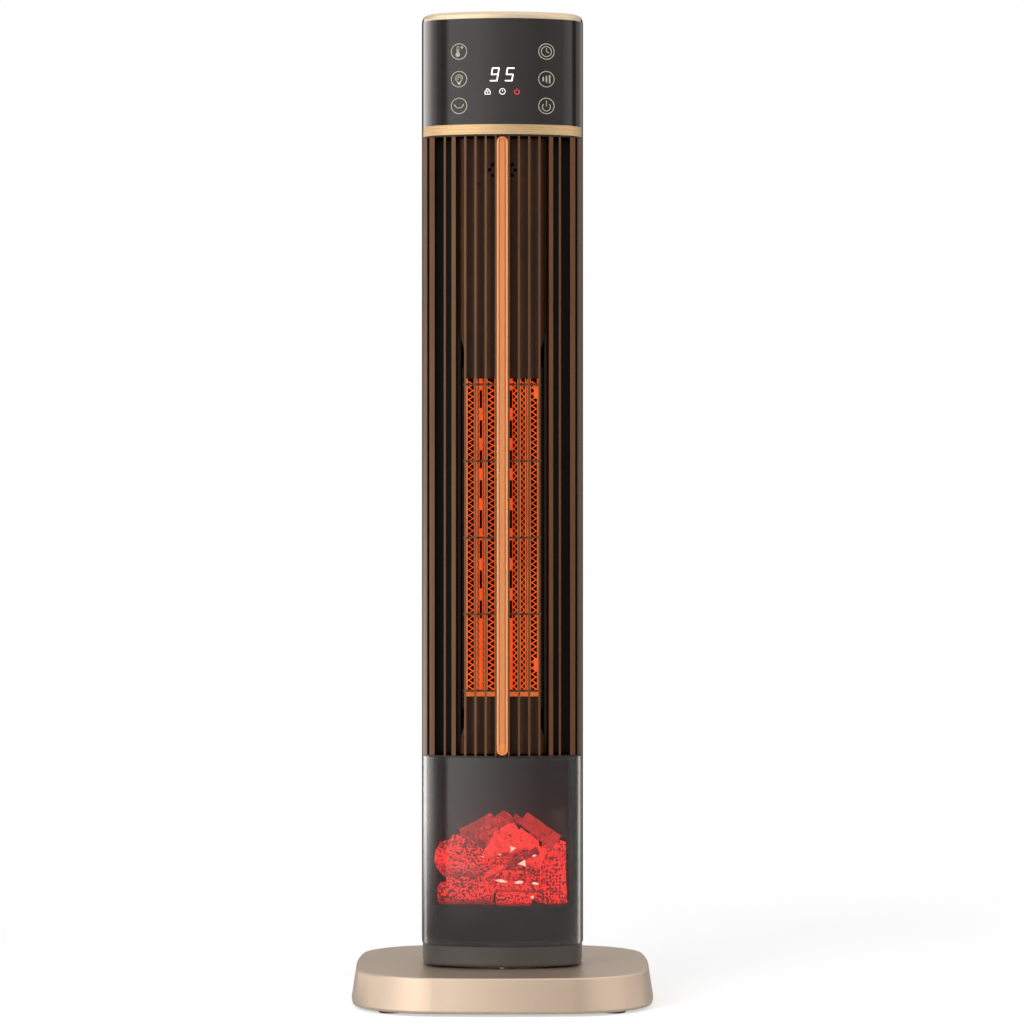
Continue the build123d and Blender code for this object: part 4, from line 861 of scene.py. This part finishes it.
class Segment(Enum):
    """Segments of a lit figure, as two ends in half widths and half heights."""

    TOP = ((-1, 1), (1, 1))
    UPPER_LEFT = ((-1, 0), (-1, 1))
    UPPER_RIGHT = ((1, 0), (1, 1))
    MIDDLE = ((-1, 0), (1, 0))
    LOWER_RIGHT = ((1, -1), (1, 0))
    BOTTOM = ((-1, -1), (1, -1))


FIGURES = {
    9: (Segment.TOP, Segment.UPPER_LEFT, Segment.UPPER_RIGHT, Segment.MIDDLE, Segment.LOWER_RIGHT,
        Segment.BOTTOM),
    5: (Segment.TOP, Segment.UPPER_LEFT, Segment.MIDDLE, Segment.LOWER_RIGHT, Segment.BOTTOM),
}


@dataclass(frozen=True)
class LitFigure:
    """A leaning figure of the display, in millimetres."""

    figure: int
    half_width: float = 2.4
    half_height: float = 4.65
    lean: float = 0.17
    stroke: float = 0.95

    def strokes(self) -> tuple[Stroke, ...]:
        """Give the strokes of the segments that the figure lights.

        Returns:
            A bar with round ends for each segment.
        """
        strokes = []
        for segment in FIGURES[self.figure]:
            heights = [up * self.half_height for _, up in segment.value]
            ends = [(across * self.half_width + self.lean * z, z)
                    for (across, _), z in zip(segment.value, heights)]
            strokes += [Bar(*ends, self.stroke), *(Dot(self.stroke / 2, *end) for end in ends)]
        return tuple(strokes)


@dataclass(frozen=True)
class Glyph:
    """Thin line work of one symbol on a face, with its line in millimetres."""

    name: str
    strokes: tuple[Stroke, ...]
    x: float
    z: float
    look: Look = Look.PRINT
    line: float = 0.56
    proud: float = 0.05 * MM
    sunk: float = 0.04 * MM

    def build(self, depth: Callable[[float, float], float], outward: int = -1,
              body: Body = Body.TOWER, slot: str = "dark_grey") -> None:
        """Draw the strokes flat, give them their thickness and lay them on the face.

        Args:
            depth: Gives the face's Y at an X and a Z.
            outward: Way out of the face along Y, -1 or 1.
            body: Body that carries the symbol.
            slot: Not used.
        """
        work = Workpiece(self.name)
        for stroke in self.strokes:
            stroke.draw(work, self.line)
        work.merge()
        for face in work.shape.faces:
            if face.normal.y * outward < 0:
                face.normal_flip()
        grown = bmesh.ops.extrude_face_region(work.shape, geom=list(work.shape.faces),
                                              use_keep_orig=True)
        raised = {item for item in grown["geom"] if isinstance(item, bmesh.types.BMVert)}
        for vertex in work.shape.verts:
            x, z = vertex.co.x + self.x, vertex.co.z + self.z
            rise = self.proud if vertex in raised else -self.sunk
            vertex.co = (x, depth(x, z) + outward * rise, z)
        work.finish(body, self.look)


@dataclass(frozen=True)
class TouchPanel:
    """The head's printed symbols and its lit display."""

    outline: FrontOutline = FrontOutline()
    columns: tuple[tuple[float, tuple[Symbol, ...]], ...] = (
        (-32.2 * MM, (Symbol.THERMOMETER, Symbol.LAMP, Symbol.SWING)),
        (32.8 * MM, (Symbol.CLOCK, Symbol.LEVEL, Symbol.POWER)))
    rows: Point = (710.3 * MM, 689.8 * MM, 669.9 * MM)
    icon_ring: Ring = Ring(5.75)
    figures: tuple[tuple[int, float], ...] = ((9, -5.6 * MM), (5, 5.5 * MM))
    figure_z: float = 692.8 * MM
    marks: tuple[tuple[Symbol, float, Look], ...] = (
        (Symbol.LOCK, -10.9 * MM, Look.DIGIT), (Symbol.TIMER, 0.1 * MM, Look.DIGIT),
        (Symbol.STANDBY, 10.9 * MM, Look.RED_MARK))
    mark_z: float = 680.2 * MM
    mark_line: float = 0.42

    def build(self) -> None:
        """Make the ringed symbols, the lit marks and the lit figures."""
        glyphs = []
        for x, icons in self.columns:
            for z, icon in zip(self.rows, icons):
                name = f"icon_{icon.name.lower()}"
                glyphs.append(Glyph(name, (self.icon_ring, *icon.value), x, z))
        for mark, x, look in self.marks:
            name = f"mark_{mark.name.lower()}"
            glyphs.append(Glyph(name, mark.value, x, self.mark_z, look, self.mark_line))
        for figure, x in self.figures:
            strokes = LitFigure(figure).strokes()
            glyphs.append(Glyph(f"display_figure_{figure}", strokes, x, self.figure_z, Look.DIGIT))
        for glyph in glyphs:
            glyph.build(self.outline.depth)


class MainsRocker:
    """The mains rocker, with the bar and the ring printed on its face."""

    CLEAR = 10 * MM
    LINE = 0.55

    def __init__(self, rocker: bpy.types.Object) -> None:
        """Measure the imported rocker.

        Args:
            rocker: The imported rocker.
        """
        mesh = rocker.data
        self.face = BVHTree.FromPolygons([vertex.co for vertex in mesh.vertices],
                                         [polygon.vertices for polygon in mesh.polygons])
        low, self.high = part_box(rocker.name)
        self.middle = (low + self.high) / 2

    def depth(self, x: float, z: float) -> float:
        """Give the Y of the rocker's face."""
        start = Vector((x, self.high.y + self.CLEAR, z))
        return self.face.ray_cast(start, Vector((0.0, -1.0, 0.0)))[0].y

    def build(self) -> None:
        """Print the marks."""
        marks = Glyph("rocker_marks", Symbol.ON_OFF.value, self.middle.x, self.middle.z,
                      Look.SWITCH_MARK, self.LINE)
        marks.build(self.depth, 1, Body.ROCKER, "black_plastic")


class Ember(Enum):
    """Kinds of log in the bed, as the piece's name and its finish."""

    ROUGH = ("ember_rough", Look.EMBER)
    MESHED = ("ember_meshed", Look.EMBER_MESH)
    CHARRED = ("ember_charred", Look.EMBER_CHARRED)
    PLANK = ("ember_plank", Look.EMBER_PLANK)
    SMOOTH = ("ember_smooth", Look.EMBER_SMOOTH)


@dataclass(frozen=True)
class EmberLog:
    """One log: its kind, two ends in millimetres above the tray, its radii and its form.

    A dome rounds its ends, and squareness turns its section from round to a plank's.
    """

    kind: Ember
    start: Point
    end: Point
    start_radius: float
    end_radius: float
    flat: float = 1.0
    dome: float = 0.15
    square: float = 0.0


EMBER_LOGS = (
    EmberLog(Ember.ROUGH, (-40, -15, 22), (43, -15, 22), 14.0, 14.0),
    EmberLog(Ember.ROUGH, (-26, -15, 42), (26, -15, 42), 10.0, 10.0),
    EmberLog(Ember.ROUGH, (-41, -26, 33.5), (-17, -28, 36), 14.0, 16.0, 0.8, 0.64),
    EmberLog(Ember.ROUGH, (-37, -24, 47), (-28, -26, 48), 5.0, 5.0, 0.8, 0.1, 0.5),
    EmberLog(Ember.ROUGH, (-46, -33, 8.6), (-9, -36, 8.8), 8.2, 8.6, 1.0, 0.3),
    EmberLog(Ember.ROUGH, (-6, -40, 13.8), (29, -40, 13.4), 4.2, 4.2, 1.0, 0.3),
    EmberLog(Ember.ROUGH, (-3.5, -43, 5.0), (20.5, -43, 5.0), 4.8, 4.6, 1.0, 0.3),
    EmberLog(Ember.ROUGH, (-12, -34, 22), (28, -36, 25), 3.6, 3.8, 1.0, 0.1, 0.4),
    EmberLog(Ember.ROUGH, (-2, -36, 30), (28, -38, 27), 3.4, 3.2),
    EmberLog(Ember.ROUGH, (22, -38, 9), (30, -38, 5), 4.0, 4.4, 0.8, 0.3),
    EmberLog(Ember.MESHED, (38.4, -31, 46), (39.0, -33, 1.5), 10.2, 10.4, 0.5, 0.2, 0.5),
    EmberLog(Ember.CHARRED, (-29, -25, 50), (-6, -22, 62.6), 6.0, 6.2, 1.0, 0.1),
    EmberLog(Ember.CHARRED, (-18.4, -39, 47.6), (4, -21, 63.2), 7.4, 7.0, 1.0, 0.1),
    EmberLog(Ember.CHARRED, (8.5, -24, 64.3), (14.5, -24, 61), 3.8, 3.6, 1.0, 0.1, 0.6),
    EmberLog(Ember.PLANK, (15.4, -42, 65.4), (39.8, -42, 47.0), 6.9, 9.2, 0.35, 0.0, 1.0),
    EmberLog(Ember.CHARRED, (-1.0, -44.5, 29.0), (26.5, -43, 41.5), 2.5, 3.2, 0.8, 0.1, 0.3),
    EmberLog(Ember.SMOOTH, (-13.5, -37, 57), (-4, -40, 38), 6.4, 8.4, 0.3, 0.15, 0.4),
    EmberLog(Ember.SMOOTH, (-4.6, -36.5, 54.6), (-1, -38, 39), 5.4, 6.4, 0.3, 0.15, 0.5),
    EmberLog(Ember.SMOOTH, (3.5, -37, 58.5), (12, -39, 41), 7.4, 9.0, 0.3, 0.15, 0.5),
    EmberLog(Ember.SMOOTH, (11, -35, 54), (24, -36, 43), 5.6, 6.0, 0.3, 0.05, 0.8),
    EmberLog(Ember.SMOOTH, (28, -38, 43.5), (22, -40, 29), 7.0, 7.6, 0.4, 0.05, 0.7),
    EmberLog(Ember.ROUGH, (-43.0, -34, 46), (-46.4, -35, 34), 4.2, 3.2, 0.5, 0.1, 0.5),
    EmberLog(Ember.SMOOTH, (-12, -45, 23), (1, -45, 30), 2.5, 2.6, 0.7, 0.1, 0.3),
)


@dataclass(frozen=True)
class HotGap:
    """Place where the lamps shine through between the logs.

    X, height above the tray and half sizes are in millimetres, and the lean is in degrees.
    """

    x: float
    height: float
    half_x: float
    half_z: float
    lean: float = 0.0
    sides: int = 4
    half_y: float = 0.8
    taper: float = 0.75


HOT_GAPS = (
    HotGap(7.4, 43.1, 2.6, 2.7, 82.0, 3),
    HotGap(15.2, 32.1, 3.0, 3.7, -96.0, 3),
    HotGap(-0.7, 19.0, 5.0, 1.2, 9.0),
    HotGap(12.4, 18.0, 3.6, 1.3, -4.0, 5),
    HotGap(24.3, 17.1, 2.9, 1.0, 6.0, 5),
    HotGap(23.6, 37.9, 1.9, 0.8, -18.0),
    HotGap(22.2, 6.9, 1.3, 1.1, 15.0, 5),
    HotGap(-14.8, 37.2, 0.9, 0.5),
    HotGap(-2.0, 38.7, 1.3, 0.5),
)


@dataclass(frozen=True)
class EmberBed:
    """The lit bed of logs behind the window."""

    seed: float = 4.0
    rings: int = 14
    sides: int = 28
    bark: float = 0.7 * MM
    bark_scale: float = 240.0
    ridge: float = 0.6 * MM
    ridge_waves: float = 2.6
    ridge_scale: float = 40.0
    core: float = 0.1 * MM
    cap_slope: float = 0.9
    dome_angles: tuple[float, ...] = (0.0, 30.0, 58.0, 80.0)
    loose_bark: Point = (2.6 * MM, 0.0, 3.2 * MM)
    gap_y: float = -48.0 * MM

    def blank(self, spec: EmberLog, length: float) -> bmesh.types.BMesh:
        """Turn a log with rounded ends along the Z axis and flatten it.

        Args:
            spec: Its radii and form.
            length: Its length.

        Returns:
            The smooth mesh.
        """
        part = bmesh.new()
        bmesh.ops.create_cone(part, cap_ends=True, segments=self.sides, depth=length,
                              radius1=spec.start_radius * MM, radius2=spec.end_radius * MM)
        long_edges = [edge for edge in part.edges
                      if abs(edge.verts[0].co.z - edge.verts[1].co.z) > MM]
        caps = [face for face in part.faces if abs(face.normal.z) > self.cap_slope]
        bmesh.ops.subdivide_edges(part, edges=long_edges, cuts=self.rings)
        radius = max(spec.start_radius, spec.end_radius) * MM
        for first, second in zip(self.dome_angles, self.dome_angles[1:]):
            inward = math.cos(math.radians(first)) - math.cos(math.radians(second))
            outward = math.sin(math.radians(second)) - math.sin(math.radians(first))
            bmesh.ops.inset_region(part, faces=caps, thickness=radius * inward,
                                   depth=radius * spec.dome * outward)
        for vertex in part.verts:
            out = math.hypot(vertex.co.x, vertex.co.y)
            if out > self.core:
                widest = max(abs(vertex.co.x), abs(vertex.co.y)) / out
                vertex.co.xy *= 1.0 + spec.square * (math.cos(math.pi / 4) / widest - 1.0)
        bmesh.ops.scale(part, vec=(1.0, spec.flat, 1.0), verts=part.verts)
        return part

    def log(self, spec: EmberLog, index: int) -> tuple[bmesh.types.BMesh, Matrix]:
        """Shape one log with its bark.

        Args:
            spec: Its ends, radii and form.
            index: Its number, which moves its bark pattern.

        Returns:
            The mesh and the matrix that places it.
        """
        start, end = Vector(spec.start) * MM, Vector(spec.end) * MM
        part = self.blank(spec, (end - start).length)
        shift = Vector((self.seed * index, 0.0, 0.0))
        for vertex in part.verts:
            out = Vector((vertex.co.x, vertex.co.y, 0.0))
            if out.length < self.core:
                continue
            bark = noise.noise(vertex.co * self.bark_scale + shift)
            angle = math.atan2(out.y, out.x)
            round_place = Vector((self.ridge_waves * math.cos(angle),
                                  self.ridge_waves * math.sin(angle),
                                  vertex.co.z * self.ridge_scale))
            ridge = noise.noise(round_place + shift)
            vertex.co += out.normalized() * (self.bark * bark + self.ridge * ridge)
        along = (end - start).normalized()
        depth = (Vector((0.0, 1.0, 0.0)) - along * along.y).normalized()
        turn = Matrix((depth.cross(along), depth, along)).transposed().to_4x4()
        middle = (start + end) / 2
        middle.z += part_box("ember_tray")[1].z
        return part, Matrix.Translation(middle) @ turn

    def keep_inside(self, shape: bmesh.types.BMesh) -> None:
        """Hold the bed to the room of its solid, but for the bark that stands out of it.

        Args:
            shape: Mesh of the logs.
        """
        low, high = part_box("ember_logs")
        tray_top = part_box("ember_tray")[1].z
        for vertex in shape.verts:
            for axis, loose in enumerate(self.loose_bark):
                vertex.co[axis] = min(max(vertex.co[axis], low[axis] - loose), high[axis] + loose)
            vertex.co.z = max(vertex.co.z, tray_top)

    def gap(self, spec: HotGap) -> tuple[bmesh.types.BMesh, Matrix]:
        """Shape one hot gap.

        Args:
            spec: Its place, size and form.

        Returns:
            The mesh and the matrix that places it.
        """
        part = bmesh.new()
        bmesh.ops.create_cone(part, cap_ends=True, segments=spec.sides, radius1=spec.taper,
                              radius2=1.0, depth=2.0)
        bmesh.ops.rotate(part, cent=(0, 0, 0), verts=part.verts,
                         matrix=Matrix.Rotation(math.pi / 2, 3, "X"))
        size = (spec.half_x * MM, spec.half_y * MM, spec.half_z * MM)
        bmesh.ops.scale(part, vec=size, verts=part.verts)
        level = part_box("ember_tray")[1].z
        place = Matrix.Translation((spec.x * MM, self.gap_y, level + spec.height * MM))
        return part, place @ Matrix.Rotation(math.radians(spec.lean), 4, "Y")

    def build(self) -> None:
        """Make the logs of each kind and the hot gaps."""
        for kind in Ember:
            name, look = kind.value
            logs = Workpiece(name)
            for index, spec in enumerate(EMBER_LOGS):
                if spec.kind is kind:
                    logs.take(*self.log(spec, index))
            self.keep_inside(logs.shape)
            piece = logs.finish(Body.TOWER, look, smooth=True)
            if kind is Ember.ROUGH:
                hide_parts("ember_logs")
        gaps = Workpiece("ember_gaps")
        for spec in HOT_GAPS:
            gaps.take(*self.gap(spec))
        gaps.finish(Body.TOWER, Look.HOT_GAP)


NODE_LOOKS: dict[Look, tuple[str, ...]] = {
    Look.BASE_PAINT: ("base_shell",),
    Look.BLACK: ("base_bottom_plate", "rear_housing", "rear_grille", "grip_cup", "rocker_frame",
                 "power_rocker", "turret_floor"),
    Look.IRON: ("ballast_plate",),
    Look.RUBBER: ("rubber_feet", "cord_gland", "top_bearing"),
    Look.STEEL: ("base_screws", "pivot_screws", "gear_nut", "motor_shaft", "motor_screws",
                 "rear_screws", "impeller_shaft"),
    Look.SPRING_STEEL: ("tip_spring", "touch_springs"),
    Look.COMPONENT: ("tip_switch", "room_sensor", "thermal_cutout", "display_module", "board_parts",
                     "buzzer"),
    Look.ACETAL: ("tip_plunger", "glide_ring", "swivel_gear", "pinion", "swivel_bush"),
    Look.MOTOR: ("pivot_post", "swing_motor", "fan_motor"),
    Look.COLLAR: ("lower_collar",),
    Look.WINDOW: ("flame_window",),
    Look.LINER: ("ember_tray", "flame_box"),
    Look.BOARD: ("led_board", "control_board", "main_board"),
    Look.LAMP: ("flame_leds",),
    Look.EMBER: ("ember_logs",),
    Look.BRONZE: ("front_grille",),
    Look.PANEL_BRONZE: ("front_baffle",),
    Look.COPPER: ("centre_strip",),
    Look.HEATPROOF: ("heater_frame", "scroll_housing", "chassis_rails"),
    Look.RIBBON_PAINTED_GLOW: ("heater_fins",),
    Look.HOT_BAR: ("heater_bars",),
    Look.HOT_STONE: ("ptc_strips",),
    Look.HOT_TAB: ("terminal_tabs",),
    Look.WHEEL: ("impeller",),
    Look.GOLD: ("trim_band",),
    Look.CAP_GOLD: ("top_rim",),
    Look.HEAD_GLOSS: ("control_fascia", "top_plate"),
    Look.WIRE: ("wire_loom",),
}


@dataclass(frozen=True)
class Solids:
    """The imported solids, which keep their shape and get their finishes."""

    nodes: dict[str, bpy.types.Object]

    def dress(self) -> None:
        """Give every node its finish.

        Raises:
            ValueError: If a node is left without a finish.
        """
        left = set(self.nodes)
        for look, names in NODE_LOOKS.items():
            for name in names:
                for slot in self.nodes[name].material_slots:
                    slot.material = look.material
                left.discard(name)
                LOG.info("node %s in %s", name, look.value.name)
        if left:
            raise ValueError(f"no finish for {sorted(left)}")


@dataclass(frozen=True)
class Lamp:
    """A soft rectangular lamp."""

    name: str
    place: Point
    aim: Point
    size: Flat
    watts: float

    def hang(self) -> None:
        """Hang the lamp, which lights the heater but doesn't show in gloss or glass."""
        data = bpy.data.lights.new(self.name, "AREA")
        data.shape = "RECTANGLE"
        data.size, data.size_y = self.size
        data.energy = self.watts
        lamp = bpy.data.objects.new(self.name, data)
        lamp.location = self.place
        toward = Vector(self.aim) - Vector(self.place)
        lamp.rotation_euler = toward.to_track_quat("-Z", "Y").to_euler()
        lamp.visible_camera = lamp.visible_glossy = lamp.visible_transmission = False
        bpy.context.scene.collection.objects.link(lamp)


@dataclass(frozen=True)
class Studio:
    """Floor, light and camera.

    Walls give how bright the surroundings are that show in gloss and metal, at bearings in degrees
    from the front towards the right. Upper walls take over between two slopes of the reflection.
    """

    lens: float = 139.27
    sensor: float = 36.0
    camera_place: Point = (7.2 * MM, -3.0, 367.6 * MM)
    camera_reach: float = 60.0
    shift_y: float = 0.0004
    floor_half: float = 14.0
    floor_parts: int = 4
    floor_tones: Flat = (0.82, 0.81)
    floor_patches: float = 2.0
    floor_lit: Flat = (0.56, 0.71)
    floor_reach: Flat = (0.6, 1.8)
    near_floor: float = 0.35
    lamps: tuple[Lamp, ...] = (
        Lamp("key_lamp", (-0.6, -1.05, 0.45), (0.0, 0.0, 0.3), (0.4, 1.2), 7.5),
        Lamp("fill_lamp", (1.5, -1.2, 0.6), (0.0, 0.0, 0.38), (0.6, 1.4), 8.0),
        Lamp("top_lamp", (0.0, -0.1, 2.0), (0.0, 0.0, 0.38), (1.4, 1.2), 2.0),
    )
    white: Colour = (1.0, 1.0, 1.0)
    sky: Point = (-0.62, -0.55, -0.56)
    sky_levels: Flat = (0.22, 0.85)
    sky_gloss: float = 0.85
    sky_slopes: Flat = (0.35, 0.75)
    wall_peak: float = 3.6
    wall_tint: Colour = (1.0, 0.972, 0.94)
    low_walls: Walls = (
        (-180, 0.02), (-160, 0.04), (-152, 2.8), (-125, 3.6), (-105, 3.6), (-88, 2.6), (-75, 1.2),
        (-62, 0.6), (-46, 0.2), (-43, 2.5), (-20, 1.7), (0, 1.0), (30, 0.28), (60, 0.3), (75, 0.5),
        (98, 0.4), (102, 0.02), (115, 0.02), (119, 0.35), (165, 0.4), (180, 0.2))
    upper_walls: tuple[tuple[float, float, Walls], ...] = (
        (-0.05, -0.03, (
            (-180, 0.02), (-145, 0.02), (-125, 0.05), (-105, 0.4), (-88, 0.8), (-60, 1.3),
            (-30, 1.0), (0, 0.5), (30, 0.3), (60, 0.6), (85, 1.1), (107, 1.1), (127, 0.8),
            (150, 0.3), (180, 0.1))),
        (0.075, 0.09, (
            (-180, 0.02), (-160, 0.04), (-152, 1.4), (-125, 2.1), (-105, 2.0), (-88, 1.1),
            (-75, 0.7), (-62, 0.3), (-46, 0.1), (-43, 1.0), (-20, 0.85), (0, 0.5), (30, 0.28),
            (48, 0.35), (60, 0.6), (82, 0.7), (90, 0.12), (104, 0.03), (110, 0.35), (165, 0.35),
            (180, 0.1))),
        (0.13, 0.165, (
            (-180, 0.55), (-150, 0.5), (-110, 0.1), (-85, 0.9), (-60, 1.8), (-30, 1.8),
            (-14, 1.4), (-4, 0.8), (3, 0.4), (8, 0.3), (22, 0.35), (40, 0.9), (90, 0.9),
            (130, 0.6), (180, 0.55))),
    )

    def camera(self) -> None:
        """Place the level camera."""
        data = bpy.data.cameras.new("camera")
        data.lens = self.lens
        data.sensor_width = self.sensor
        data.shift_y = self.shift_y
        data.clip_end = self.camera_reach
        view = bpy.data.objects.new("camera", data)
        view.location = self.camera_place
        view.rotation_euler = (math.pi / 2, 0.0, 0.0)
        bpy.context.scene.collection.objects.link(view)
        bpy.context.scene.camera = view

    def mirrored(self, sheet: ShaderSheet, walls: Walls) -> Socket:
        """Give how bright the studio's walls are in each direction round the heater.

        Args:
            sheet: Sheet whose coordinates are a direction or a place on the floor.
            walls: Brightness at bearings.

        Returns:
            The brightness that shows in gloss and metal, as a share of wall_peak.
        """
        axes = sheet.axes()
        front = sheet.combine("MULTIPLY", axes["Y"], -1.0)
        bearing = sheet.combine("ARCTAN2", axes["X"], front)
        ramp = sheet.add("ValToRGB", {"Fac": sheet.spread(bearing, 0.0, 1.0, -math.pi, math.pi)})
        stops = ramp.color_ramp.elements
        for degrees, brightness in walls:
            level = brightness / self.wall_peak
            place = (degrees + 180) / 360
            stop = stops.new(place) if 0.0 < place < 1.0 else stops[0 if place == 0.0 else -1]
            stop.color = (*(level * part for part in self.wall_tint), 1.0)
        return ramp.outputs["Color"]

    def floor(self) -> None:
        """Make the pale floor, which keeps the heater's shadow."""
        shape = bmesh.new()
        bmesh.ops.create_grid(shape, x_segments=self.floor_parts, y_segments=self.floor_parts,
                              size=self.floor_half)
        mesh = bpy.data.meshes.new("floor")
        shape.to_mesh(mesh)
        shape.free()
        sheet = ShaderSheet.material("pale_floor")
        share = sheet.spread(sheet.clouds(self.floor_patches), 0.0, 1.0)
        pale, dull = ((level,) * 3 for level in self.floor_tones)
        plain = sheet.add("BsdfDiffuse", {"Color": sheet.blend(share, pale, dull)}).outputs["BSDF"]
        reach = sheet.add("VectorMath", {0: sheet.where}, operation="LENGTH").outputs["Value"]
        lit = sheet.spread(reach, *self.floor_lit, *self.floor_reach)
        lit = sheet.add("Emission", {"Strength": lit}).outputs["Emission"]
        seen = sheet.add("AddShader", {0: plain, 1: lit}).outputs["Shader"]
        near = (self.near_floor / self.wall_peak,) * 3
        far = sheet.spread(reach, 0.0, 1.0, *self.floor_reach)
        walls = sheet.blend(far, near, self.mirrored(sheet, self.low_walls))
        mirror = sheet.add("Emission", {"Color": walls, "Strength": self.wall_peak})
        mesh.materials.append(sheet.by_ray(plain, seen, mirror.outputs["Emission"]))
        floor = bpy.data.objects.new("floor", mesh)
        bpy.context.scene.collection.objects.link(floor)

    def world(self) -> None:
        """Make the white surroundings and the walls that show in gloss and metal."""
        sheet = ShaderSheet(bpy.data.worlds.new("studio_world"), "OutputWorld", "Generated")
        slope = sheet.axes()["Z"]
        toward = sheet.add("VectorMath", {0: sheet.where, 1: self.sky}, operation="DOT_PRODUCT")
        daylight = sheet.spread(toward.outputs["Value"], *self.sky_levels, -1.0, 1.0)
        walls = self.mirrored(sheet, self.low_walls)
        for low, high, upper in self.upper_walls:
            share = sheet.spread(slope, 0.0, 1.0, low, high)
            walls = sheet.blend(share, walls, self.mirrored(sheet, upper))
        sky = (self.sky_gloss / self.wall_peak,) * 3
        upward = sheet.spread(slope, 0.0, 1.0, *self.sky_slopes)
        plain, seen, mirror = (
            sheet.add("Background", {"Color": colour, "Strength": strength}).outputs["Background"]
            for colour, strength in ((self.white, daylight), (self.white, 1.0),
                                     (sheet.blend(upward, walls, sky), self.wall_peak)))
        bpy.context.scene.world = sheet.by_ray(plain, seen, mirror)

    def build(self) -> None:
        """Set up the camera, the floor and the light."""
        self.camera()
        self.floor()
        self.world()
        for lamp in self.lamps:
            lamp.hang()
        bpy.context.scene.view_settings.view_transform = "Standard"


def main() -> None:
    """Load the frame, dress it, add the new pieces and set up the studio."""
    logging.basicConfig(level=logging.INFO, format="%(name)s: %(message)s")
    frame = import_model()
    Studio().build()
    Solids(frame["nodes"]).dress()
    TouchPanel().build()
    EmberBed().build()
    MainsRocker(frame["nodes"]["power_rocker"]).build()


if __name__ == "__main__":
    main()
